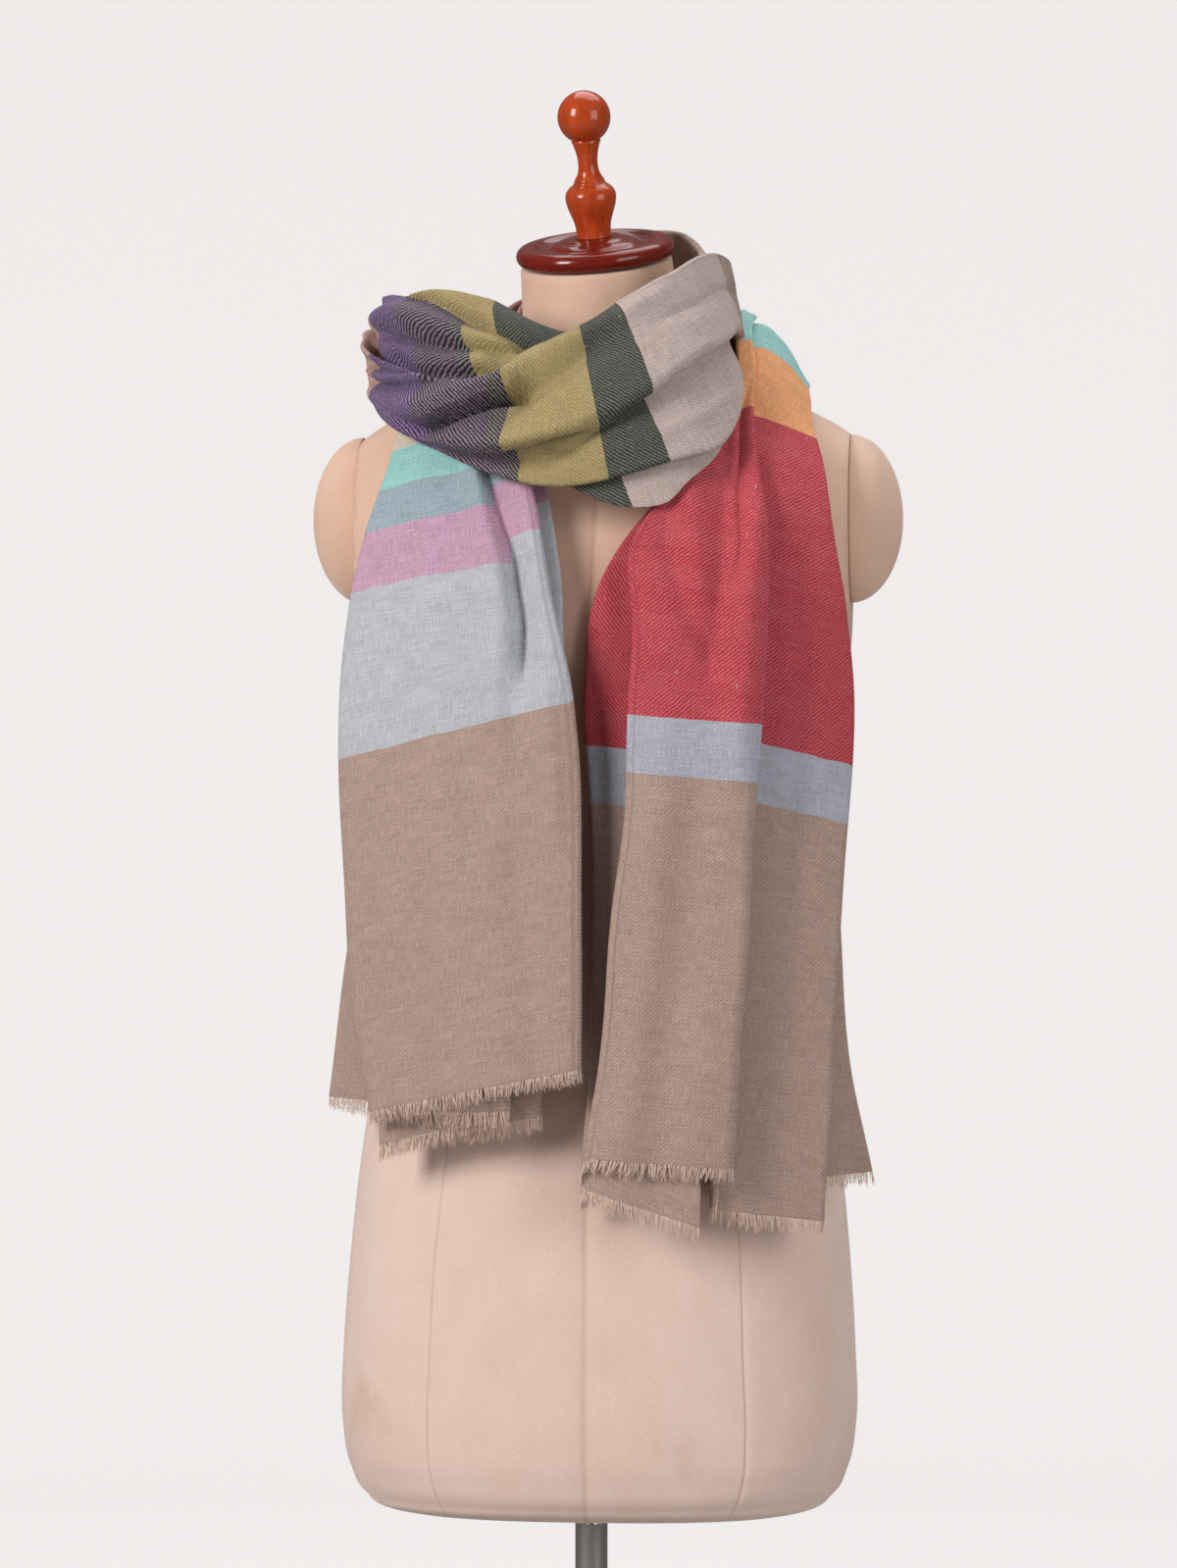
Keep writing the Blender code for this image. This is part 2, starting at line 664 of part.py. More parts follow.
def build_head(collection, parent, wood, cap_wood):
    """The tilted wooden cap on the neck and the finial that stands on it."""
    # from the raised centre outwards: centre dome, groove, rolled rim, flat underside
    cap_profile = [(0.0, 17.0), (12.0, 17.0)]
    cap_profile += [(21.0, 16.4), (28.0, 14.6), (31.5, 12.0), (36.0, 11.2), (40.5, 12.6)]
    cap_profile += [(44.0, 14.0)] + arc(47.5, 7.4, 6.6, 75, -75, 6)
    cap_profile += [(46.0, 0.3), (0.0, 0.3)]
    cap = turned("neck_cap", cap_profile, 36, cap_wood, collection, parent)
    cap.location = Vector(NECK_TOP) * MM
    cap.rotation_euler = (math.radians(NECK_TILT), math.radians(-CAP_ROLL), 0.0)
    # finial: ball, ring, slender waist, collar, bulb, foot
    finial_profile = arc(0.0, 82.0, 18.0, 90, -62, 9)
    finial_profile += [(9.6, 64.6), (9.6, 62.4), (7.4, 60.5), (6.6, 55.0), (6.6, 49.0)]
    finial_profile += [(8.0, 44.0), (9.8, 41.0), (9.6, 38.6), (11.4, 37.2)]
    finial_profile += [(15.6, 33.5), (17.3, 28.5), (16.6, 23.0), (13.8, 15.0), (11.8, 7.0)]
    finial_profile += [(11.8, 0.3), (0.0, 0.3)]
    finial = turned("finial", finial_profile, 20, wood, collection, parent)
    finial.rotation_euler = cap.rotation_euler
    lift = cap.rotation_euler.to_matrix() @ Vector((0.0, 0.0, 17.0 * MM))
    finial.location = cap.location + lift


def build_stand(collection, parent, chrome, cover):
    """The pole under the torso and its round base."""
    torso_floor = TORSO[0][0]
    low = POLE_FOOT_Z + SEAM
    high = torso_floor - SEAM
    bpy.ops.mesh.primitive_cylinder_add(
        vertices=24,
        radius=POLE_RADIUS * MM,
        depth=(high - low) * MM,
        location=(0, 0, (high + low) / 2 * MM),
    )
    pole = bpy.context.object
    pole.name = "pole"
    pole.data.name = "pole"
    pole.data.materials.append(chrome)
    for owner in list(pole.users_collection):
        owner.objects.unlink(pole)
    collection.objects.link(pole)
    pole.parent = parent
    inner = POLE_RADIUS + SEAM
    collar_profile = [
        (inner, -SEAM),
        (COLLAR_RADIUS + 6, -SEAM),
        (COLLAR_RADIUS + 6, -2.5),
        (COLLAR_RADIUS - 3, -3.5),
        (COLLAR_RADIUS - 4, -COLLAR_HEIGHT),
        (inner, -COLLAR_HEIGHT),
        (inner, -SEAM),
    ]
    collar = turned("pole_collar", collar_profile, 24, chrome, collection, parent)
    collar.location = (0, 0, torso_floor * MM)
    base_profile = [
        (0.0, BASE_HEIGHT),
        (30.0, BASE_HEIGHT),
        (BASE_RADIUS - 40, BASE_HEIGHT - 5),
        (BASE_RADIUS - 8, BASE_HEIGHT - 8),
        (BASE_RADIUS, BASE_HEIGHT - 12),
        (BASE_RADIUS, 0.0),
        (0.0, 0.0),
    ]
    turned("stand_base", base_profile, 48, cover, collection, parent)


def main():
    for old in list(bpy.data.objects):
        bpy.data.objects.remove(old, do_unlink=True)
    collection = new_collection("pashmina_shawl_on_dress_form")
    root = bpy.data.objects.new("shawl_on_form", None)
    collection.objects.link(root)
    cover = new_material("form_cover", COVER_COLOUR, 0.9, 0.0)
    wood = new_material("varnished_wood", WOOD_COLOUR, 0.2, 0.0)
    cap_wood = new_material("dark_varnished_wood", CAP_COLOUR, 0.22, 0.0)
    chrome = new_material("chrome", CHROME_COLOUR, 0.12, 1.0)
    build_torso(collection, root, cover)
    build_shoulder_caps(collection, root, cover)
    build_neck(collection, root, cover)
    build_head(collection, root, wood, cap_wood)
    build_stand(collection, root, chrome, chrome)
    build_cloth(Bundle(), collection, root)
    bpy.context.view_layer.update()


main()
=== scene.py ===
"""Looks of a striped pashmina shawl wound once round a limbless dress form on a pole stand.

Laid out as an add-on and run as a script.  The tables are in millimetres and the scene in
metres: +Z up, the floor at z = 0, the form's chest towards -Y, the viewer's right +X.
The shawl is one folded strip.  A place on it has a distance along the bundle's route, from
the left hem to the right hem, and a place across the folds, + towards the neck.
"""

import math

import bmesh
import bpy
import numpy as np
from bpy.props import (
    FloatProperty, FloatVectorProperty, IntProperty, IntVectorProperty, PointerProperty,
)
from mathutils import Matrix, Vector


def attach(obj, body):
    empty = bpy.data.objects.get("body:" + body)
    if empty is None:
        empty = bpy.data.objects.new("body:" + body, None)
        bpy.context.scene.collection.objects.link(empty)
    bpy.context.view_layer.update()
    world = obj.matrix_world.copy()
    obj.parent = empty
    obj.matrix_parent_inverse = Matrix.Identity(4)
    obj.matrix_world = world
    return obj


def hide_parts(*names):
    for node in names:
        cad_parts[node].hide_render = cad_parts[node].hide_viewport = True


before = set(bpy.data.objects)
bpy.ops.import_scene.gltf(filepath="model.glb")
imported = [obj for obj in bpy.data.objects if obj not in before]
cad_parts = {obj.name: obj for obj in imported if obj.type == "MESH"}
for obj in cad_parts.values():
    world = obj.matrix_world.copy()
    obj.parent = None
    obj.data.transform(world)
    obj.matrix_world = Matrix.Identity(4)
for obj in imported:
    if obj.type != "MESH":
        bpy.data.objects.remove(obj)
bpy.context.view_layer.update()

bl_info = {
    "name": "Wound Shawl on a Dress Form",
    "version": (1, 0, 0),
    "blender": (4, 5, 0),
    "location": "3D View > Sidebar > Shawl",
    "description": "Builds a striped shawl wound round a dress form, with its stand and stage",
    "category": "Add Mesh",
}

MM = 0.001

# ------------------------------------------------------------------ the bundle's tables
# Route: x y z of the innermost layer's middle, its outward direction, its curvature across
# (1/m) and the pitch between two layers.
# Columns: x, y, z, nx, ny, nz, bend, gap.
ROUTE = (
    # left panel, hem to shoulder
    (-62, -125, 815, -0.20, -0.98, 0.00, 3.4, 6.6),
    (-63, -125, 900, -0.20, -0.98, 0.00, 3.6, 6.6),
    (-66, -125, 1000, -0.21, -0.98, 0.00, 3.8, 6.6),
    (-70, -124, 1090, -0.22, -0.97, 0.02, 4.0, 6.2),
    (-74, -120, 1160, -0.24, -0.96, 0.12, 4.4, 5.6),
    (-77, -109, 1212, -0.25, -0.93, 0.26, 4.6, 5.0),
    (-79, -94, 1251, -0.26, -0.86, 0.44, 4.6, 4.4),
    (-81, -73, 1284, -0.30, -0.70, 0.65, 4.0, 4.0),
    (-83, -46, 1304, -0.34, -0.40, 0.86, 3.0, 3.8),
    (-84, -13, 1314, -0.35, -0.08, 0.93, 2.0, 3.8),
    # inner turn behind the neck
    (-81, 22, 1318.5, -0.38, 0.26, 0.88, 2.0, 3.8),
    (-69, 55, 1329, -0.46, 0.60, 0.64, 2.0, 3.8),
    (-42, 78, 1339, -0.38, 0.84, 0.38, 2.0, 4.0),
    (0, 87, 1347, 0.02, 1.00, 0.16, 2.0, 4.0),
    (42, 78, 1353, 0.48, 0.88, 0.06, 2.0, 4.0),
    (69, 50, 1356, 0.82, 0.56, 0.08, 3.0, 4.2),
    # front of the neck, right to left
    (82, 8, 1358, 0.98, 0.02, 0.12, 3.4, 3.8),
    (84, -43, 1351, 0.86, -0.32, 0.26, 3.0, 3.6),
    (78, -88, 1329, 0.62, -0.64, 0.38, 3.2, 4.2),
    (48, -121, 1306, 0.34, -0.82, 0.44, 3.6, 4.5),
    (4, -130, 1293, 0.03, -0.92, 0.39, 5.0, 4.7),
    (-42, -123, 1295, -0.26, -0.90, 0.34, 6.0, 4.4),
    (-86, -105, 1308, -0.52, -0.80, 0.30, 6.0, 3.9),
    (-117, -70, 1325, -0.80, -0.54, 0.26, 5.5, 3.5),
    (-132, -26, 1337, -0.97, -0.16, 0.20, 5.0, 3.3),
    # outer turn behind the neck
    (-131, 20, 1339, -0.96, 0.22, 0.16, 4.0, 3.5),
    (-113, 66, 1332, -0.76, 0.62, 0.18, 3.0, 3.8),
    (-75, 104, 1322, -0.44, 0.88, 0.20, 3.0, 4.2),
    (-24, 124, 1315, -0.10, 0.98, 0.22, 3.0, 4.4),
    (32, 124, 1313, 0.22, 0.94, 0.24, 3.0, 4.2),
    (80, 104, 1320, 0.52, 0.78, 0.32, 3.0, 3.6),
    (109, 72, 1330, 0.68, 0.52, 0.52, 2.0, 2.9),
    (120, 36, 1331, 0.66, 0.16, 0.74, 1.0, 2.6),
    # right panel, shoulder to hem
    (120, -2, 1320, 0.54, -0.10, 0.83, 1.0, 2.6),
    (118, -35, 1305.5, 0.42, -0.43, 0.79, 1.0, 2.5),
    (113, -63, 1284, 0.31, -0.69, 0.64, 1.6, 2.6),
    (110, -89, 1249, 0.27, -0.88, 0.38, 3.0, 3.2),
    (105, -107, 1210, 0.28, -0.94, 0.20, 4.2, 4.4),
    (99, -116, 1165, 0.28, -0.96, 0.08, 4.4, 6.0),
    (97, -120, 1100, 0.27, -0.96, 0.00, 4.2, 6.4),
    (96, -121, 1040, 0.26, -0.97, 0.00, 4.0, 6.6),
    (94, -121, 950, 0.25, -0.97, 0.00, 3.8, 6.6),
    (91, -121, 860, 0.24, -0.97, 0.00, 3.6, 6.6),
    (89, -121, 780, 0.23, -0.97, 0.00, 3.4, 6.6),
)
# Fold edges across the bundle.  The cloth runs tuck -> top -> foot -> under -> outer ->
# crest -> tail, with a layer between each two.  Each row starts with its distance along.
# Columns: along, tuck, top, foot, under, outer, crest, tail.
FOLDS = (
    (0, 32, 69, -63, 24, -68, 42, -119),
    (85, 34, 70, -75, 30, -81, 46, -106),
    (185, 36, 73, -80, 34, -84, 54, -88),
    (275, 28, 71, -78, 30, -82, 66, -80),
    (345, 14, 61, -70, 22, -75, 67, -70),
    (399, 2, 54, -57, 12, -62, 62, -56),
    (440, 0, 46, -43, 8, -48, 55, -42),
    (480, 0, 34, -34, 8, -38, 44, -34),
    (513, 2, 24, -28, 8, -31, 36, -29),
    (548, 4, 24, -25, 8, -27, 33, -26),
    (583, 4, 26, -26, 8, -28, 34, -26),
    (620, 8, 30, -26, 8, -30, 42, -27),
    (657, 12, 38, -26, 8, -34, 48, -30),
    (700, 16, 40, -24, 8, -38, 50, -34),
    (744, 18, 42, -22, 8, -36, 73, -34),
    (783, 18, 40, -20, 8, -32, 66, -30),
    (827, 16, 36, -20, 8, -28, 47, -26),
    (878, 20, 43, -11, 12, -24, 40, -20),
    (905, 23, 47, -9, 16, -30, 42, -28),
    (943, 28, 51, -5.5, 22, -51, 46, -49),
    (968, 31, 51, -8.5, 26, -61, 47, -66),
    (984, 32, 48, -14, 26, -58, 47, -73),
    (997, 30, 45, -18, 23, -57, 49, -82),
    (1013, 25, 41, -24, 18, -57, 52, -77),
    (1031, 18, 37, -29, 12, -58, 53, -60),
    (1044, 10, 33, -34, 9, -57, 54, -50),
    (1059, -0, 27, -38, 4, -54, 56, -42),
    (1072, -8, 13, -41, 0, -51, 58, -36),
    (1086, -15, 6, -41, -5, -48, 60, -32),
    (1101, -22, 1, -41, -10, -45, 62, -30),
    (1122, -26, -3, -41, -14, -43, 63, -26),
    (1146, -25, -4, -37, -13, -38, 56, -24),
    (1171, -22, -5, -33, -12, -32, 43, -22),
    (1219, -18, 1, -29, -8, -27, 31, -20),
    (1265, -12, 10, -32, -6, -28, 34, -20),
    (1315, -2, 22, -44, 2, -38, 52, -28),
    (1370, 6, 30, -50, 6, -50, 46, -38),
    (1425, 8, 33, -40, 6, -54, 40, -42),
    (1481, 8, 31, -14, 14, -52, 36, -44),
    (1534, 22, 31, 20, 25, -46, 32, -42),
    (1578, 31, 38, 28, 33, -38, 35, -35),
    (1616, 31, 38, 28, 33, -30, 35, -28),
    (1655, 25, 32, 22, 27, -29, 28, -27),
    (1691, 15, 22, 12, 17, -33, 20, -30),
    (1727, 8, 17, 2, 12, -44, 15, -40),
    (1771, 12, 27, -6, 10, -56, 29, -50),
    (1814, 20, 53, -16, 10, -69, 59, -62),
    (1845, 23, 64, -20, 9, -79, 76, -69),
    (1860, 24, 63, -21, 8, -82, 83, -72),
    (1868, 24, 61, -21.5, 8, -83, 86, -73),
    (1890, 25, 59, -22, 7, -86, 90, -75),
    (1925, 26, 60, -20, 6, -88, 90, -78),
    (1985, 28, 60, -18, 6, -86, 85, -80),
    (2075, 32, 66, -14, 4, -81, 81, -86),
    (2165, 26, 72, -12, 2, -78, 81, -98),
    (2245, 10, 82, -10, 2, -74, 83, -118),
)
# Hem lines: place in the order of the fold edges, and how far along the route the hem lies.
HEM_LEFT = ((0, 35), (1, 43), (2, 11), (3, 13), (4, -12), (5, 10), (6, 20))
HEM_RIGHT = (
    (0, 29), (0.92, 4), (1.06, -17), (2, -12), (3, 15), (4, 24), (4.2, 4), (4.7, -4), (5, 9), (6, -9),
)
LAYER_DEPTH = (4, 5, 3, 2, 1, 0)
TOP_LEVEL = 5
HEADING = (1, -1, 1, -1, 1, -1)  # across direction that each layer runs in
OUTER_ORDER = 4.0  # the order of the outer edge
FREE_SPANS = ((940, 1140, 40, 0.5), (1320, 1440, 60, 0.6))  # start, end, fade, how free
PRESSED_LEAST = 0.30  # the layers never press thinner than this share
WEAVE_SPAN = (980, 1240, 40, 60)  # where the weave leans less than the stripes

# Cuts between the stretches, as route stations (fractions lie between two stations): left
# shoulder, right of the neck, left of the neck, right shoulder.
CUTS = (9.0, 15.6, 24.6, 32.5)
SEAM = 0.3  # gap between two pieces
# The rows turn from the hem's slant to square between the hem and these stations.
LEFT_BUST = 4
RIGHT_BUST = len(ROUTE) - 6

# How far the weave runs ahead of the route at each fold edge, so that a stripe slants as it
# hangs: distance along the route, then a value for each fold edge.
# Columns: along, then the seven fold edges.
LEAD = (
    (0, 35, 43, 11, 13, -12, 10, 20),
    (85, 33, 42, 6, 12, -10, 10, 18),
    (185, 20, 30, -6, 8, -10, 8, 10),
    (275, 10, 21, -12, 2, -10, 10, 4),
    (300, 8, 16, -8, 1, -8, 14, 3),
    (345, 4, 7, -2, 0, -6, 26, 0),
    (399, 2, 7, -1, 0, -4, 34, 0),
    (440, 0, 4, -1, 0, 0, 34, 0),
    (513, 0, 0, 0, 0, 0, 14, 0),
    (878, 0, 0, 0, 0, 0, 0, 0),
    (940, 0, -2, 4, 8, 10, 20, 14),
    (979, 0, -3, 8, 12, 14, 38, 30),
    (1005, 0, -1, 2, 4, 4, 46, 32),
    (1024, 0, 0, -1, 0, -2, 52, 16),
    (1044, 0, 0, -6, -4, -12, 60, 6),
    (1064, 0, 2, -10, -10, -18, 66, 0),
    (1122, 0, 10, -4, -4, -10, 70, 0),
    (1171, 0, 10, 0, 0, -8, 64, 0),
    (1265, 0, 4, 0, 0, 0, 40, 0),
    (1370, 0, 0, 0, 0, 0, 10, 0),
    (1691, 0, 0, 0, 0, 0, 0, 0),
    (1930, 0, -13, -8, -4, 17, 5, -8),
    (1985, 0, -14, -8, -2, 18, 6, -9),
    (2165, 16, -17, -11, 8, 22, 8, -9),
    (2245, 29, -17, -12, 15, 24, 9, -9),
)

# Creases: long soft or sharp troughs that run along the bundle.
# act "stack" moves every layer, "surface" presses the outer layers together.
# near and far are half widths on the neck side and on the other side, depth is at the
# middle (a negative one is a ridge), edge is 1 for a sharp line and 2 for a soft trough,
# fades are the run-in lengths, points are places along and across, and jog is how far the
# stripes slip across it at each end, left out where they don't.
# Columns: act, near, far, depth, edge, fades, points, jog.
CREASES = (
    # the puffed roll at the left end and the tucked cloth below it
    ("stack", 20.0, 24.0, -14.0, 2.4, (50, 60), ((1165, 33), (1195, 30), (1230, 25), (1265, 20))),
    ("stack", 14.0, 14.0, 5.0, 2.0, (30, 40), ((1170, -36), (1200, -34), (1235, -30))),
    # valleys between the pleats gathered at the left end of the band
    ("stack", 2.8, 3.4, 7.5, 1.3, (40, 22),
     ((1075, 38), (1106, 41), (1141, 42), (1168, 40), (1182, 37)), (24, 46)),
    ("stack", 2.8, 3.2, 8.0, 1.3, (36, 20),
     ((1078, 34), (1099, 29), (1126, 23), (1153, 16), (1185, 11)), (4, 8)),
    ("stack", 2.8, 3.2, 8.0, 1.3, (34, 24),
     ((1096, 13), (1118, 5), (1148, -6), (1183, -11), (1196, -10)), (0, 4)),
    ("stack", 2.6, 3.2, 7.0, 1.3, (26, 20), ((1104, 5), (1121, -5), (1156, -17), (1190, -19))),
    # the rounded pleats themselves
    ("stack", 7.5, 7.5, -5.5, 2.8, (40, 40), ((1090, 50), (1141, 52), (1200, 41))),
    ("stack", 6.5, 6.5, -6.5, 2.8, (30, 36),
     ((1090, 36), (1120, 33), (1150, 29), (1179, 25), (1220, 14))),
    ("stack", 8.0, 8.0, -6.0, 2.8, (24, 36), ((1106, 19), (1130, 10), (1150, 5), (1200, 0))),
    ("stack", 3.6, 3.6, -5.0, 2.4, (20, 24), ((1118, 1), (1150, -11), (1190, -15))),
    ("surface", 8.0, 9.0, -4.0, 2.4, (24, 30), ((1104, -18), (1130, -27), (1180, -30))),
    # the lip at the left end, with a deep hollow under it
    ("surface", 2.4, 7.5, 15.0, 1.3, (12, 26), ((1062, 1), (1083, -8), (1098, -20), (1112, -32))),
    ("stack", 1.8, 8.5, 8.0, 1.4, (14, 24), ((1064, 1), (1083, -8), (1098, -20), (1110, -30))),
    ("surface", 6.0, 5.0, -5.0, 1.8, (18, 24), ((1070, 8), (1088, 1), (1104, -10), (1120, -22))),
    ("surface", 11.0, 1.6, -9.0, 1.6, (26, 22), ((1046, -33), (1062, -37), (1080, -39), (1098, -39))),
    ("surface", 2.0, 9.0, 9.0, 1.6, (22, 24), ((1040, -37), (1060, -42), (1084, -43), (1104, -43))),
    # soft hollow across the yellow stripe and the ridge above it
    ("surface", 8.0, 10.0, 7.5, 1.9, (22, 26), ((1006, 26), (1029, 14), (1050, 0), (1066, -16))),
    ("surface", 7.0, 7.0, -4.5, 1.9, (40, 20), ((960, 42), (1006, 36), (1040, 26), (1062, 14))),
    # the pinched fold along the lower roll
    ("surface", 2.0, 3.6, 8.0, 1.2, (16, 20), ((1016, -24), (1031, -34), (1049, -43), (1063, -42))),
    ("surface", 5.0, 6.0, -5.0, 1.8, (40, 30), ((950, -36), (985, -38), (1020, -44), (1040, -50))),
    ("stack", 4.0, 6.0, 2.4, 1.5, (30, 30), ((850, 14), (900, 20), (944, 26))),
    # left panel: the fold that swallows its right edge, then soft ridges and troughs
    ("surface", 12.0, 3.2, 11.0, 1.5, (26, 60),
     ((306, 42), (330, 43), (354, 39.6), (371, 38), (392, 31.5), (431, 22)), (17, 18)),
    ("surface", 8.0, 9.0, 3.0, 1.8, (40, 30), ((240, 36), (270, 36), (298, 36), (330, 42), (352, 41))),
    ("surface", 7.0, 6.0, -4.0, 1.8, (60, 40), ((225, 58), (287, 56), (319, 54), (355, 52), (400, 46))),
    ("surface", 7.0, 8.0, -4.0, 1.9, (60, 40), ((287, 26), (330, 31), (371, 27), (410, 20))),
    ("surface", 12.0, 12.0, 3.4, 2.0, (60, 40), ((200, 8), (280, 10), (360, 6), (420, 4))),
    ("surface", 14.0, 12.0, 2.8, 2.0, (60, 60), ((20, -28), (110, -34), (230, -38), (330, -34))),
    ("surface", 16.0, 14.0, -2.6, 2.0, (60, 60), ((10, 20), (90, 22), (180, 20))),
    ("surface", 10.0, 12.0, 3.2, 1.8, (40, 70), ((10, 44), (70, 42), (150, 34))),
    # right panel: a narrow pleat beside the fold, the V-shaped slack and long soft rolls
    ("surface", 2.6, 5.0, 5.5, 1.4, (30, 50), ((1728, 9), (1757, 7), (1787, 5), (1829, -1))),
    ("surface", 9.0, 7.0, 5.0, 1.8, (40, 26), ((1754, 16), (1800, 12), (1846, 8), (1896, 12))),
    ("surface", 7.0, 9.0, 4.0, 1.8, (40, 26), ((1835, 44), (1862, 32), (1882, 22), (1898, 13))),
    ("surface", 10.0, 10.0, -4.0, 2.0, (50, 40), ((1770, 38), (1810, 34), (1850, 24), (1880, 14))),
    ("surface", 10.0, 8.0, -4.5, 2.0, (50, 80), ((1830, -6), (1880, -8), (1940, -4))),
    ("surface", 5.0, 14.0, 7.0, 1.6, (16, 24), ((1846, 78), (1858, 72), (1874, 66))),
    ("surface", 9.0, 9.0, 3.6, 1.8, (60, 80), ((1840, -46), (1900, -52), (1960, -50), (2040, -46))),
    ("surface", 8.0, 10.0, -3.4, 1.8, (50, 80), ((1770, -24), (1830, -34), (1900, -40), (1980, -36))),
    ("surface", 14.0, 14.0, 3.0, 2.0, (80, 60), ((2000, 20), (2090, 24), (2180, 30), (2240, 36))),
    ("surface", 12.0, 12.0, -2.6, 2.0, (80, 60), ((2010, 42), (2110, 46), (2220, 56))),
    ("surface", 9.0, 9.0, 3.4, 1.8, (80, 60), ((2040, -44), (2130, -46), (2230, -44))),
    # turns behind the neck and over the shoulders
    ("stack", 14.0, 32.0, -11.5, 2.8, (40, 50), ((1560, 14), (1608, 14), (1650, 10), (1690, 2))),
    ("stack", 3.0, 5.0, 3.4, 1.3, (50, 60), ((1240, 26), (1300, 30), (1370, 24), (1430, 20))),
    ("stack", 3.0, 5.0, 3.2, 1.3, (60, 60), ((1250, -2), (1330, 4), (1420, 2), (1500, 4))),
    ("stack", 3.4, 5.0, 3.0, 1.4, (60, 60), ((1290, -20), (1380, -26), (1470, -22), (1550, -14))),
    ("surface", 4.0, 6.0, 4.5, 1.4, (60, 50), ((1330, -10), (1400, -14), (1480, -12), (1560, -6))),
    ("stack", 3.0, 4.0, 2.6, 1.4, (50, 50), ((600, 14), (660, 16), (720, 18), (780, 14))),
    ("stack", 3.0, 4.0, 2.4, 1.4, (50, 50), ((620, -8), (680, -10), (740, -8), (800, -6))),
    ("surface", 2.6, 3.4, 3.0, 1.4, (30, 40), ((500, 12), (540, 10), (590, 12))),
    ("surface", 2.6, 3.4, 3.0, 1.4, (30, 40), ((500, -8), (545, -10), (600, -8))),
)
# Hollows: round dimples where the pleats are pinched together.
# Columns: along, across, length, width, depth.
HOLLOWS = (
    (1164, -2, 13, 6.5, 9.0),
    (1063, -2, 13, 6.0, 7.0),
)

# Cross stripes: the distance from the left hem where each starts, its colour's name and how
# much of the pale warp shows through it.
# Columns: start, colour, warp.
STRIPES = (
    (-100, "beige", 0.25),
    (254, "light_blue", 0.20),
    (354, "pink", 0.34),
    (393, "slate", 0.36),
    (422, "teal", 0.30),
    (452, "cream", 0.25),
    (474, "mauve_brown", 0.22),
    (690, "taupe", 0.22),
    (860, "lilac", 0.36),
    (974, "green", 0.22),
    (1009, "olive_yellow", 0.28),
    (1067, "charcoal", 0.42),
    (1076, "grey_purple", 0.38),
    (1112, "purple", 0.40),
    (1170, "tan", 0.25),
    (1330, "mauve_brown", 0.22),
    (1410, "beige", 0.25),
    (1470, "slate", 0.36),
    (1500, "teal", 0.30),
    (1662, "orange", 0.18),
    (1722, "red", 0.22),
    (1945, "blue_grey", 0.25),
    (1988, "beige", 0.25),
)
RAMP_LENGTH = 2400.0
RAMP_START = -100.0

# Fringe: where its lines lie past the hem in mm, then sizes in metres.
FRINGE_REACHES = (-1.2, 0.0, 3.0)
FRINGE_SEEDS = {"fringe_left": 11, "fringe_right": 12}
YARN_RADIUS = 0.0002
YARN_STEPS = (0.0, 0.16, 0.45, 0.75, 1.0)
TUFT_WIDTH = 0.0008
HEM_STEP = 0.002

# ------------------------------------------------------------------ dress form tables
# Columns: z, half_width, half_depth, centre_x, centre_y, power.
TORSO = (
    (550, 132, 80, 5.5, 0, 2.5),
    (553, 146, 92, 5.5, 0, 2.5),
    (562, 160, 104, 5.5, 0, 2.4),
    (580, 170, 112, 5.5, 0, 2.4),
    (610, 175.5, 117, 5.5, 0, 2.35),
    (660, 175, 118, 5.5, 0, 2.3),
    (720, 171, 116, 6, 0, 2.3),
    (790, 164, 111, 6.5, 0, 2.2),
    (860, 153, 103, 7, 0, 2.2),
    (930, 142, 96, 8, 0, 2.1),
    (990, 141, 96, 8.5, -1, 2.1),
    (1050, 148, 105, 9, -3, 2.1),
    (1110, 161, 115, 10, -5, 2.2),
    (1150, 172, 118, 10.5, -5, 2.2),
    (1180, 182, 115, 11, -3, 2.2),
    (1215, 190, 108, 12, -1, 2.3),
    (1245, 189, 97, 12, 2, 2.3),
    (1268, 178, 86, 12, 4, 2.3),
    (1284, 159, 76, 12, 5, 2.2),
    (1297, 135, 69, 11, 6, 2.1),
    (1308, 108, 64, 10.5, 6, 2.05),
    (1318, 80, 60, 10, 6, 2.0),
    (1326, 60, 57, 9.5, 6, 2.0),
)
TORSO_INSET = 0.9
TORSO_SIDES = 120
TORSO_RINGS = 130
SEAM_TURNS = (90, 270, 236.2, 303.8, 56, 124, 2, 178)  # degrees round the torso
SEAM_HALF_WIDTH = 1.3
TORSO_MEAN_RADIUS = 150.0
SEAM_DEPTH = 0.55
ARMHOLE_X = 166
ARMHOLE_CENTRE_X = 10.5
ARMHOLE_FLOOR = 1040  # the armhole cut lies above this height
SHOULDER_CAP = (57, 50, 35)
SHOULDER_EDGE = 0.5
SHOULDER_CAP_Y = 4
SHOULDER_CAP_Z = 1222
NECK_BASE = (9, 6, 1326.3)
NECK_TOP = (3, 3, 1398)
NECK_BASE_RADIUS = 57
NECK_TOP_RADIUS = 51.5
NECK_TILT = 16
NECK_SIDES = 96
NECK_RINGS = 28
CAP_ROLL = 3.5
CAP_RISE = 17.0
TORSO_FLOOR = 550
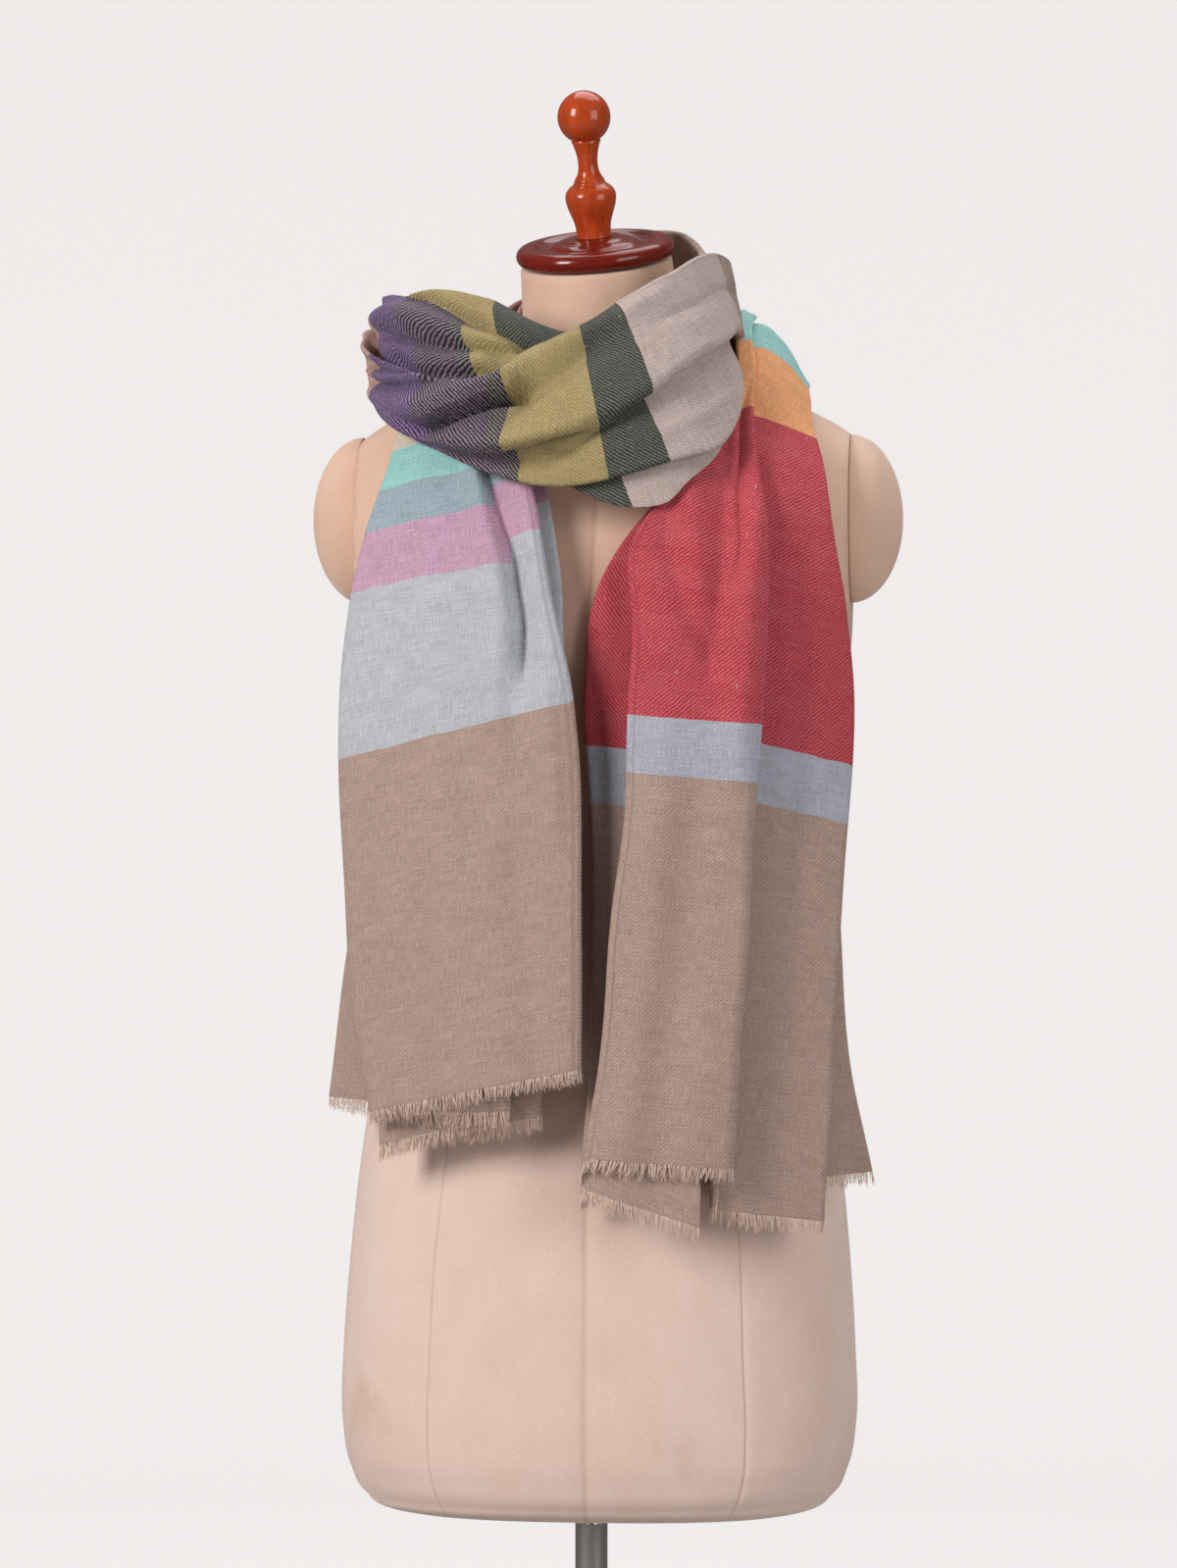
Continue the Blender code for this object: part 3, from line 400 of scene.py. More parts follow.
# Turned profiles: radius and height pairs, each from the part's own foot.
CAP_TOP = (
    (0.0, 17.0), (10.0, 17.0), (16.0, 16.9), (20.0, 16.4), (22.0, 15.2), (26.0, 14.6),
    (29.0, 13.4), (31.5, 11.6), (36.0, 10.9), (40.0, 12.2), (42.6, 13.6), (45.0, 13.8),
)
FINIAL_NECK = ((9.2, 64.3), (8.4, 61.5), (7.2, 56.5), (6.7, 50.0), (7.4, 44.5), (9.4, 40.4))
FINIAL_RING = (
    (10.0, 39.8), (10.2, 38.9), (10.0, 38.4), (10.6, 38.0), (10.9, 37.4), (10.8, 36.9),
)
FINIAL_BODY = (
    (11.2, 36.6), (14.4, 34.2), (16.7, 31.0), (17.3, 27.4), (16.6, 22.6), (14.6, 16.4),
    (12.6, 10.4), (11.8, 5.0), (11.8, 0.4),
)
POLE_RADIUS = 11
# The collar's rows are radius and depth below the torso's floor.
COLLAR_RIM = (
    (24.4, 0), (25.0, 0.6), (25.0, 1.8), (24.2, 2.4), (17.2, 3.2), (15.8, 4.4), (15.0, 9.0),
    (14.4, 9.7),
)
COLLAR_HEIGHT = 9.7
BASE_RADIUS = 215
BASE_HEIGHT = 16
BASE_TOP = ((31.0, 15.9), (90.0, 14.4), (150.0, 12.4), (190.0, 9.8), (206.0, 7.4))

# ------------------------------------------------------------------ camera and stage
CAMERA_TARGET = (-0.002, 0.0, 1.042)
CAMERA_DISTANCE = 3.5
CAMERA_TURN = 5.3
CAMERA_LENS = 118.0
STAGE_RADIUS = 6.0
STAGE_BEND = 2.0
STAGE_WALL = 3.0
STAGE_STEPS = 16
LIGHT_AIM = (0.0, 0.0, 1.15)


def screen(red, green, blue):
    """A linear colour from its 0 to 255 screen values."""
    values = []
    for value in (red, green, blue):
        share = value / 255.0
        values.append(share / 12.92 if share <= 0.04045 else ((share + 0.055) / 1.055) ** 2.4)
    return tuple(values)


def colour(name, description, default):
    """A colour property."""
    return FloatVectorProperty(
        name=name, description=description, default=default, subtype="COLOR", min=0.0, max=1.0
    )


def length_setting(name, description, default, low, high):
    """A length property in metres."""
    return FloatProperty(
        name=name, description=description, default=default, min=low, max=high,
        subtype="DISTANCE", unit="LENGTH",
    )


def level_setting(name, description, default, high):
    """A plain number property from 0 up."""
    return FloatProperty(name=name, description=description, default=default, min=0.0, max=high)


def count_setting(name, description, default, low, high):
    """A whole number property."""
    return IntProperty(name=name, description=description, default=default, min=low, max=high)


class ShawlSettings(bpy.types.PropertyGroup):
    """Sizes and yarn colours of the shawl."""

    wall: length_setting("Cloth thickness", "Thickness of the folded cloth", 0.0009, 0.0004, 0.003)
    row_pitch: length_setting("Row spacing", "Distance between mesh rows", 0.0044, 0.002, 0.03)
    layer_columns: IntVectorProperty(
        name="Columns a layer", description="Mesh columns across each folded layer",
        size=6, default=(18, 56, 18, 46, 80, 34), min=4, max=80,
    )
    turn_columns: count_setting("Columns a fold", "Mesh columns round one fold edge", 6, 2, 12)
    twill_pitch: length_setting("Twill pitch", "Distance between twill lines", 0.0027, 0.0005, 0.005)
    fringe_length: length_setting("Fringe length", "Length of the yarn ends", 0.0112, 0.004, 0.03)
    fringe_tufts: count_setting("Fringe tufts", "Number of tufts of yarn on a hem", 760, 50, 2000)
    tuft_hairs: count_setting("Hairs a tuft", "Number of yarn ends in a tuft", 3, 1, 12)
    fringe_pale: colour("Fringe", "Palest yarn ends", screen(240, 216, 200))
    fringe_dark: colour("Fringe shade", "Darkest yarn ends", screen(206, 176, 158))
    warp: colour("Warp", "Pale yarn that runs the length of the shawl", screen(206, 192, 188))
    beige: colour("Beige", "End stripes", screen(168, 139, 124))
    light_blue: colour("Light blue", "Second stripe", screen(180, 184, 190))
    pink: colour("Pink", "Pink stripe", screen(190, 142, 172))
    slate: colour("Slate", "Grey blue stripe", screen(138, 162, 175))
    teal: colour("Green blue", "Green blue stripe", screen(138, 200, 196))
    cream: colour("Cream", "Cream stripe", screen(210, 196, 172))
    mauve_brown: colour("Mauve brown", "Stripe behind the neck", screen(150, 104, 90))
    taupe: colour("Taupe", "Stripe right of the neck", screen(150, 128, 114))
    lilac: colour("Lilac grey", "Lilac grey stripe", screen(180, 161, 153))
    green: colour("Dark green", "Dark green stripe", screen(50, 58, 47))
    olive_yellow: colour("Olive yellow", "Yellow stripe", screen(152, 134, 74))
    charcoal: colour("Charcoal", "Narrow dark stripe", screen(44, 41, 46))
    grey_purple: colour("Grey purple", "Purple twill stripe", screen(58, 38, 68))
    purple: colour("Purple", "Deep purple stripe", screen(72, 36, 104))
    tan: colour("Tan", "Stripe round the left side", screen(178, 140, 126))
    orange: colour("Orange", "Orange stripe", screen(230, 154, 90))
    red: colour("Red", "Red stripe", screen(182, 18, 46))
    blue_grey: colour("Blue grey", "Blue grey stripe", screen(166, 169, 182))


class FormSettings(bpy.types.PropertyGroup):
    """Finishes of the dress form and its stand."""

    cover: colour("Cover", "Suede cover of the form", screen(236, 212, 200))
    cover_dark: colour("Cover shade", "Darker patches of the cover", screen(218, 186, 168))
    # This colour tints the cover warmer towards the top of the form, from 0.78 m up to 1.12 m high.
    cover_warm: colour("Cover warmth", "Tint of the aged cover round the chest", (0.96, 0.84, 0.74))
    finial_wood: colour("Finial", "Orange brown varnished wood", screen(176, 66, 26))
    cap_wood: colour("Neck cap", "Dark red brown varnished wood", screen(112, 28, 16))
    metal: colour("Metal", "Polished pole and base", screen(196, 190, 186))


class StageSettings(bpy.types.PropertyGroup):
    """Floor, backdrop and lights."""

    ground: colour("Backdrop", "Pale floor and backdrop", screen(238, 235, 234))
    glow: level_setting("Backdrop glow", "Extra brightness of the lit backdrop", 0.84, 2.0)
    floor_share: level_setting("Backdrop bounce", "How much light the backdrop gives back", 0.5, 1.0)
    key_power: level_setting("Key light", "Power of the large light at the left", 104.0, 1000.0)
    fill_power: level_setting("Fill light", "Power of the large light at the right", 50.0, 1000.0)
    sky_level: level_setting("Room light", "Brightness of the room around the stage", 0.20, 3.0)


# ------------------------------------------------------------------ smooth tables
def end_slopes(knots, values):
    """Steps and rises between knots, and slopes that are set at both ends only."""
    steps = np.diff(knots)
    rises = np.diff(values) / steps
    slopes = np.zeros(len(knots))
    slopes[0] = rises[0]
    slopes[-1] = rises[-1]
    return steps, rises, slopes


def knot_slopes(knots, values):
    """Slopes for a smooth curve through the knots that does not overshoot them."""
    steps, rises, slopes = end_slopes(knots, values)
    for i in range(1, len(knots) - 1):
        if rises[i - 1] * rises[i] > 0.0:
            low = 2.0 * steps[i] + steps[i - 1]
            high = steps[i] + 2.0 * steps[i - 1]
            slopes[i] = (low + high) / (low / rises[i - 1] + high / rises[i])
    return slopes


def middle_slopes(knots, values):
    """Slopes for a rounder curve through the knots, for positions in space."""
    steps, rises, slopes = end_slopes(knots, values)
    for i in range(1, len(knots) - 1):
        share = steps[i - 1] / (steps[i - 1] + steps[i])
        slopes[i] = (1.0 - share) * rises[i - 1] + share * rises[i]
    return slopes


class SmoothTable:
    """Cubic curves through the columns of a table."""

    def __init__(self, knots, rows, slope_rule):
        self.knots = np.asarray(knots, dtype=float)
        self.rows = np.asarray(rows, dtype=float)
        self.slopes = np.array([slope_rule(self.knots, column) for column in self.rows.T]).T

    def at(self, places, carry_on=False):
        """Rows of values at places; past the ends they hold, or carry on straight."""
        places = np.asarray(places, dtype=float)
        inside = np.clip(places, self.knots[0], self.knots[-1])
        index = np.searchsorted(self.knots, inside, side="right") - 1
        index = np.clip(index, 0, len(self.knots) - 2)
        step = (self.knots[index + 1] - self.knots[index])[..., None]
        u = (inside - self.knots[index])[..., None] / step
        value = self.rows[index] * (1 + 2 * u) * (1 - u) ** 2
        value = value + self.slopes[index] * step * u * (1 - u) ** 2
        value = value + self.rows[index + 1] * u * u * (3 - 2 * u)
        value = value + self.slopes[index + 1] * step * u * u * (u - 1)
        if carry_on:
            before = np.minimum(places - self.knots[0], 0.0)[..., None]
            after = np.maximum(places - self.knots[-1], 0.0)[..., None]
            value = value + self.slopes[0] * before + self.slopes[-1] * after
        return value


def ease(value):
    """0 below 0, 1 above 1, and a smooth rise between."""
    share = np.clip(value, 0.0, 1.0)
    return share * share * (3.0 - 2.0 * share)


def window(along, start, end, fade_in, fade_out):
    """1 from start to end, and 0 beyond the fade at each end."""
    rise = ease((along - start + fade_in) / fade_in)
    return rise * ease((end + fade_out - along) / fade_out)


class Crease:
    """One trough or ridge that runs along the bundle."""

    def __init__(self, act, near, far, depth, edge, fades, points, jog=(0, 0)):
        self.act = act
        self.near = near
        self.far = far
        self.depth = depth
        self.edge = edge
        self.fades = fades
        self.jog = jog
        knots = [point[0] for point in points]
        self.line = SmoothTable(knots, [[point[1]] for point in points], middle_slopes)
        self.start = knots[0]
        self.end = knots[-1]

    def offset(self, along, across):
        """Outward move of the cloth, in mm."""
        side = across - self.line.at(along)[..., 0]
        width = np.where(side > 0, self.near, self.far)
        profile = np.exp(-np.abs(side / width) ** self.edge)
        return -self.depth * profile * window(along, self.start, self.end, *self.fades)

    def slip(self, along, across):
        """How much further the weave runs ahead past the crease, in mm."""
        side = across - self.line.at(along)[..., 0]
        share = np.clip((along - self.start) / (self.end - self.start), 0.0, 1.0)
        amount = self.jog[0] + (self.jog[1] - self.jog[0]) * share
        reach = window(along, self.start, self.end, self.fades[0], 2 * self.fades[1])
        return amount * reach * ease(side / 3.0 + 0.5)


class Bundle:
    """The shawl as a flat-folded strip swept along its route."""

    def __init__(self):
        route = np.array(ROUTE, dtype=float)
        chords = np.linalg.norm(np.diff(route[:, :3], axis=0), axis=1)
        self.knots = np.concatenate(([0.0], np.cumsum(chords)))
        self.length = self.knots[-1]
        self.centre = SmoothTable(self.knots, route[:, :3], middle_slopes)
        self.outward = SmoothTable(self.knots, route[:, 3:6], middle_slopes)
        self.shape = SmoothTable(self.knots, route[:, 6:8], knot_slopes)
        folds = np.array(FOLDS, dtype=float)
        self.folds = SmoothTable(folds[:, 0], folds[:, 1:], knot_slopes)
        lead = np.array(LEAD, dtype=float)
        self.lead = SmoothTable(lead[:, 0], lead[:, 1:], knot_slopes)
        self.creases = [Crease(*row) for row in CREASES]

    def station(self, number):
        """Distance along the route of a station number, which may be a fraction."""
        return float(np.interp(number, np.arange(len(self.knots)), self.knots))

    def edges(self, along):
        """Fold edges at distances along the bundle, with their hand-made unevenness."""
        edges = self.folds.at(along)
        free = self.freedom(along)[..., None]
        order = np.arange(edges.shape[-1])
        waver = np.sin(along[..., None] / 47.0 + 1.9 * order)
        waver = waver + 0.6 * np.sin(along[..., None] / 21.0 + 3.1 * order)
        return edges + 0.8 * free * waver

    def freedom(self, along):
        """1 where the cloth hangs or stands free, 0 where it lies close on something."""
        free = ease((360.0 - along) / 60.0) + ease((along - 1830.0) / 60.0)
        for start, end, fade, share in FREE_SPANS:
            free = free + share * window(along, start, end, fade, fade)
        return free

    def section(self, along, column):
        """Across and depth, before creases, of the section's points at each distance."""
        edges = self.edges(along)
        pitch = self.shape.at(along)[..., 1]
        layer = column["layer"]
        level = column["level"]
        start_radius = column["before"] * pitch / 2
        end_radius = column["after"] * pitch / 2
        first = np.take_along_axis(edges, layer[..., None], -1)[..., 0]
        last = np.take_along_axis(edges, layer[..., None] + 1, -1)[..., 0]
        heading = column["heading"]
        start = first + heading * start_radius
        end = last - heading * end_radius
        flat = start + (end - start) * column["share"]
        turn = column["turn"]
        across = np.where(turn < 0, flat, end + heading * end_radius * np.sin(turn))
        drop = column["drop"] * pitch
        round_depth = level * pitch - drop / 2 + drop / 2 * np.cos(turn)
        depth = np.where(turn < 0, level * pitch, round_depth)
        return across, depth, pitch

    def creased(self, along, across, depth, pitch):
        """Depth with the creases, hollows and soft undulation worked in."""
        full = TOP_LEVEL * pitch
        press = np.zeros_like(depth)
        shift = np.zeros_like(depth)
        for crease in self.creases:
            near = along > crease.start - crease.fades[0]
            near = near & (along < crease.end + crease.fades[1])
            if not near.any():
                continue
            move = np.where(near, crease.offset(along, across), 0.0)
            if crease.act == "surface":
                press += move / full
            else:
                shift += move
        for place, side, length, width, deep in HOLLOWS:
            reach = ((along - place) / length) ** 2 + ((across - side) / width) ** 2
            shift -= deep * np.exp(-reach)
        free = self.freedom(along)
        wave = np.sin(along / 58.0 + across / 33.0)
        wave = wave + 0.7 * np.sin(along / 31.0 - across / 19.0 + 1.3)
        ripple = np.sin(across / 7.5 + along / 90.0 + 0.8 * np.sin(along / 37.0))
        press += free * (0.035 * wave + 0.012 * ripple)
        return depth * np.maximum(1.0 + press, PRESSED_LEAST) + shift

    def frames(self, along):
        """Middle, outward and across directions at distances along the route."""
        middle = self.centre.at(along, carry_on=True)
        ahead = self.centre.at(along + 1.0, carry_on=True)
        behind = self.centre.at(along - 1.0, carry_on=True)
        forward = ahead - behind
        forward /= np.linalg.norm(forward, axis=-1, keepdims=True)
        outward = self.outward.at(along)
        outward = outward - forward * np.sum(outward * forward, axis=-1, keepdims=True)
        outward /= np.linalg.norm(outward, axis=-1, keepdims=True)
        return middle, outward, np.cross(forward, outward)

    def points(self, along, across, depth):
        """Points in metres from places across the bundle and out from its inner layer."""
        middle, outward, side = self.frames(along)
        bend = self.shape.at(along)[..., 0] * MM
        angle = across * bend
        sideways = np.sin(angle) / bend + depth * np.sin(angle)
        out = (np.cos(angle) - 1.0) / bend + depth * np.cos(angle)
        return (middle + side * sideways[..., None] + outward * out[..., None]) * MM

    def place(self, along, column):
        """Points of the folded cloth in metres, and their places across the bundle."""
        inside = np.clip(along, 0.0, self.length)
        across, depth, pitch = self.section(inside, column)
        depth = self.creased(inside, across, depth, pitch)
        return self.points(along, across, depth), across

    def stripe_lead(self, along, order):
        """How far the stripes run ahead of the route at points of the cloth."""
        table = self.lead.at(along)
        index = np.clip(order.astype(int), 0, table.shape[-1] - 2)
        low = np.take_along_axis(table, index[..., None], -1)[..., 0]
        high = np.take_along_axis(table, index[..., None] + 1, -1)[..., 0]
        return low + (high - low) * (order - index)

    def weave_order(self, along, order):
        """The order to read the lead at for the weave, which leans less than the stripes."""
        past = (order - OUTER_ORDER) * (1.0 - window(along, *WEAVE_SPAN))
        return np.where(order > OUTER_ORDER, OUTER_ORDER + past, order)

    def stripe_slip(self, along, across):
        """How much further the stripes run past the creases that tuck cloth away."""
        slip = np.zeros_like(across)
        for crease in self.creases:
            if any(crease.jog):
                slip = slip + crease.slip(along, across)
        return slip


def section_columns(layer_columns, turn_columns):
    """The points of the folded section: which layer each is on, or which turn."""
    rows = []
    last = len(LAYER_DEPTH) - 1
    for layer, level in enumerate(LAYER_DEPTH):
        before = 0.0 if layer == 0 else abs(level - LAYER_DEPTH[layer - 1])
        after = 0.0 if layer == last else abs(level - LAYER_DEPTH[layer + 1])
        drop = 0.0 if layer == last else level - LAYER_DEPTH[layer + 1]
        fixed = (layer, level, before, after, drop, HEADING[layer])
        count = layer_columns[layer]
        for step in range(0 if layer == 0 else 1, count + 1):
            share = step / count
            rows.append((*fixed, share, -1.0, layer + 0.08 + 0.84 * share))
        if layer < last:
            for step in range(1, turn_columns + 1):
                turn = math.pi * step / turn_columns
                rows.append((*fixed, 1.0, turn, layer + 0.92 + 0.16 * step / turn_columns))
    names = ("layer", "level", "before", "after", "drop", "heading", "share", "turn", "order")
    table = np.array(rows).T
    columns = dict(zip(names, table))
    columns["layer"] = columns["layer"].astype(int)
    return columns


def hem_offsets(hem, order):
    """How far along the route the hem lies at places in the order of fold edges."""
    places, offsets = zip(*hem)
    return np.interp(order, places, offsets)


# ------------------------------------------------------------------ shader helpers
def add_node(tree, kind, place, **settings):
    """Add a node at a grid place and set its properties and inputs."""
    made = tree.nodes.new(kind)
    made.location = (place[0] * 190, -place[1] * 210)
    for name, value in settings.items():
        if hasattr(made, name):
            setattr(made, name, value)
        else:
            made.inputs[name.replace("_", " ")].default_value = value
    return made


def new_material(name):
    """A material with its Principled shader and node tree."""
    material = bpy.data.materials.new(name)
    material.use_nodes = True
    tree = material.node_tree
    return material, tree, tree.nodes["Principled BSDF"]


def finish(shader, **values):
    """Set a shader's plain inputs."""
    for name, value in values.items():
        shader.inputs[name.replace("_", " ")].default_value = value


def object_place(tree, place):
    """The Object coordinates."""
    return add_node(tree, "ShaderNodeTexCoord", place).outputs["Object"]


def stretched_noise(tree, vector, scale, place, detail=2.0):
    """Noise stretched by a different scale on each axis."""
    mapping = add_node(tree, "ShaderNodeMapping", place)
    mapping.inputs["Scale"].default_value = scale
    tree.links.new(vector, mapping.inputs["Vector"])
    made = add_node(tree, "ShaderNodeTexNoise", (place[0] + 1, place[1]), Scale=1.0, Detail=detail)
    tree.links.new(mapping.outputs["Vector"], made.inputs["Vector"])
    return made.outputs["Fac"]


def smooth_step(tree, place, value, low, high):
    """0 below low, 1 above high, and a smooth rise between."""
    made = add_node(
        tree, "ShaderNodeMapRange", place,
        interpolation_type="SMOOTHSTEP", From_Min=low, From_Max=high,
    )
    tree.links.new(value, made.inputs["Value"])
    return made.outputs["Result"]


def bump_by(tree, shader, place, height, strength, distance):
    """Roughen a shader's surface by a height."""
    bump = add_node(tree, "ShaderNodeBump", place, Strength=strength, Distance=distance)
    tree.links.new(height, bump.inputs["Height"])
    tree.links.new(bump.outputs["Normal"], shader.inputs["Normal"])


def fill_socket(tree, socket, value):
    """Link a socket, or give it a number or a colour."""
    if isinstance(value, bpy.types.NodeSocket):
        tree.links.new(value, socket)
    elif isinstance(value, (int, float)):
        socket.default_value = value
    else:
        socket.default_value = (*value[:3], 1.0)


def math_node(tree, operation, place, *values):
    """A Math node on sockets or numbers."""
    made = add_node(tree, "ShaderNodeMath", place, operation=operation)
    for socket, value in zip(made.inputs, values):
        fill_socket(tree, socket, value)
    return made.outputs["Value"]


def mix_colour(tree, place, factor, first, second, blend="MIX"):
    """A colour mix on sockets, numbers or colours."""
    made = add_node(tree, "ShaderNodeMix", place, data_type="RGBA", blend_type=blend)
    for index, value in ((0, factor), (6, first), (7, second)):
        fill_socket(tree, made.inputs[index], value)
    return made.outputs[2]


def group_tree(name, inputs, outputs):
    """A shader node group with its sockets."""
    tree = bpy.data.node_groups.new(name, "ShaderNodeTree")
    for in_out, sockets in (("INPUT", inputs), ("OUTPUT", outputs)):
        for label, kind in sockets:
            tree.interface.new_socket(name=label, in_out=in_out, socket_type="NodeSocket" + kind)
    enter = add_node(tree, "NodeGroupInput", (-2, 0))
    leave = add_node(tree, "NodeGroupOutput", (12, 0))
    return tree, enter.outputs, leave.inputs


def weave_group():
    """Twill lines, slubs along both yarns and a soft melange, from cloth coordinates."""
    results = [(name, "Float") for name in ("Warp", "Tone", "Fleck", "Cloud", "Height")]
    tree, given, result = group_tree(
        "Twill and melange", [("Cloth", "Vector"), ("Pitch", "Float")], results
    )
    cloth = given["Cloth"]
    links = tree.links
    parts = add_node(tree, "ShaderNodeSeparateXYZ", (0, 0))
    links.new(cloth, parts.inputs["Vector"])
    # the twill's diagonal lines, wavering and broken up by the yarns
    waver = stretched_noise(tree, cloth, (150, 150, 1), (0, 1))
    diagonal = math_node(tree, "ADD", (1, 0), parts.outputs["X"], parts.outputs["Y"])
    drift = math_node(tree, "MULTIPLY", (2, 1), waver, 0.0032)
    diagonal = math_node(tree, "ADD", (2, 0), diagonal, drift)
    turns = math_node(tree, "DIVIDE", (3, 0), diagonal, given["Pitch"])
    line = math_node(tree, "PINGPONG", (4, 0), turns, 0.5)
    line = math_node(tree, "MULTIPLY", (5, 0), line, 2.0)
    yarn_noise = stretched_noise(tree, cloth, (1500, 1500, 1), (3, 1), detail=1.0)
    yarn = math_node(tree, "MULTIPLY_ADD", (5, 1), yarn_noise, 1.3, -0.65)
    rough_line = math_node(tree, "ADD", (6, 0), line, yarn)
    links.new(smooth_step(tree, (7, 0), rough_line, 0.40, 0.78), result["Warp"])
    # uneven tone: slubs along both yarns, soft clouds and a fine grain
    warp_slub = stretched_noise(tree, cloth, (1100, 90, 1), (3, 3), detail=3.0)
    weft_slub = stretched_noise(tree, cloth, (60, 1100, 1), (3, 4), detail=3.0)
    cloud = stretched_noise(tree, cloth, (30, 70, 1), (3, 5), detail=4.0)
    fine = stretched_noise(tree, cloth, (1500, 1500, 1), (3, 6))
    tone = math_node(tree, "ADD", (6, 3), warp_slub, weft_slub)
    tone = math_node(tree, "MULTIPLY_ADD", (7, 3), tone, 0.66, -0.66)
    soft = math_node(tree, "MULTIPLY_ADD", (7, 5), cloud, 0.14, -0.07)
    grain = math_node(tree, "MULTIPLY_ADD", (7, 6), fine, 1.30, -0.65)
    for column, part in ((8, soft), (9, grain), (10, 1.0)):
        tone = math_node(tree, "ADD", (column, 3), tone, part)
    links.new(tone, result["Tone"])
    links.new(cloud, result["Cloud"])
    # short pale flecks where a yarn is thick
    slub = stretched_noise(tree, cloth, (420, 95, 1), (3, 7), detail=1.0)
    fleck = smooth_step(tree, (7, 7), slub, 0.74, 0.82)
    links.new(fleck, result["Fleck"])
    height = math_node(tree, "MULTIPLY_ADD", (9, 1), line, 0.6, tone)
    links.new(math_node(tree, "ADD", (10, 1), height, fleck), result["Height"])
    return tree


def stripe_ramp(tree, place, position, rows):
    """Hard-edged steps: each row is a start distance and a colour."""
    ramp = add_node(tree, "ShaderNodeValToRGB", place)
    band = ramp.color_ramp
    band.interpolation = "CONSTANT"
    band.elements.remove(band.elements[1])
    band.elements[0].position = 0.0
    band.elements[0].color = (*rows[0][1], 1.0)
    for start, shade in rows[1:]:
        step = band.elements.new((start - RAMP_START) / RAMP_LENGTH)
        step.color = (*shade, 1.0)
    tree.links.new(position, ramp.inputs["Fac"])
    return ramp.outputs["Color"]


def cloth_material():
    """Woven wool with cross stripes, laid out by the cloth's own coordinates."""
    settings = bpy.context.scene.shawl
    material, tree, shader = new_material("striped_twill")
    links = tree.links
    layout = add_node(tree, "ShaderNodeUVMap", (-8, 0), uv_map="cloth")
    dye = add_node(tree, "ShaderNodeUVMap", (-8, 1), uv_map="dye")
    parts = add_node(tree, "ShaderNodeSeparateXYZ", (-7, 0))
    links.new(dye.outputs["UV"], parts.inputs["Vector"])
    wobble = stretched_noise(tree, layout.outputs["UV"], (90, 30, 1), (-8, 2))
    shake = math_node(tree, "MULTIPLY_ADD", (-6, 2), wobble, 0.0022, -0.0011)
    along = math_node(tree, "ADD", (-6, 0), parts.outputs["Y"], shake)
    place = math_node(tree, "SUBTRACT", (-5, 0), along, RAMP_START * MM)
    place = math_node(tree, "DIVIDE", (-4, 0), place, RAMP_LENGTH * MM)
    weft_rows = [(start, getattr(settings, shade)) for start, shade, _ in STRIPES]
    warp_rows = [(start, (show, show, show)) for start, _, show in STRIPES]
    weft = stripe_ramp(tree, (-3, 0), place, weft_rows)
    share = stripe_ramp(tree, (-3, 1), place, warp_rows)
    weave = add_node(tree, "ShaderNodeGroup", (-5, 3), node_tree=weave_group())
    weave.inputs["Pitch"].default_value = settings.twill_pitch
    links.new(layout.outputs["UV"], weave.inputs["Cloth"])
    mask = math_node(tree, "MULTIPLY", (-2, 1), weave.outputs["Warp"], share)
    woven = mix_colour(tree, (-1, 0), mask, weft, settings.warp)
    greyer = add_node(tree, "ShaderNodeHueSaturation", (0, 1), Saturation=0.90, Value=1.02)
    links.new(woven, greyer.inputs["Color"])
    woven = mix_colour(tree, (1, 0), weave.outputs["Cloud"], woven, greyer.outputs["Color"])
    toned = mix_colour(tree, (2, 0), 1.0, woven, weave.outputs["Tone"], "MULTIPLY")
    flecks = math_node(tree, "MULTIPLY", (2, 2), weave.outputs["Fleck"], 0.45)
    flecked = mix_colour(tree, (3, 0), flecks, toned, settings.warp)
    links.new(flecked, shader.inputs["Base Color"])
    finish(shader, Roughness=0.86, Specular_IOR_Level=0.16, Sheen_Weight=0.06, Sheen_Roughness=0.5)
    bump_by(tree, shader, (4, 2), weave.outputs["Height"], 0.55, 0.0005)
    return material


def yarn_material():
    """Loose yarn ends of the fringe."""
    settings = bpy.context.scene.shawl
    material, tree, shader = new_material("fringe_yarn")
    tint = stretched_noise(tree, object_place(tree, (-5, 0)), (420, 420, 60), (-4, 0))
    shade = mix_colour(tree, (-1, 0), tint, settings.fringe_dark, settings.fringe_pale)
    tree.links.new(shade, shader.inputs["Base Color"])
    finish(shader, Roughness=0.9, Sheen_Weight=0.25)
    return material


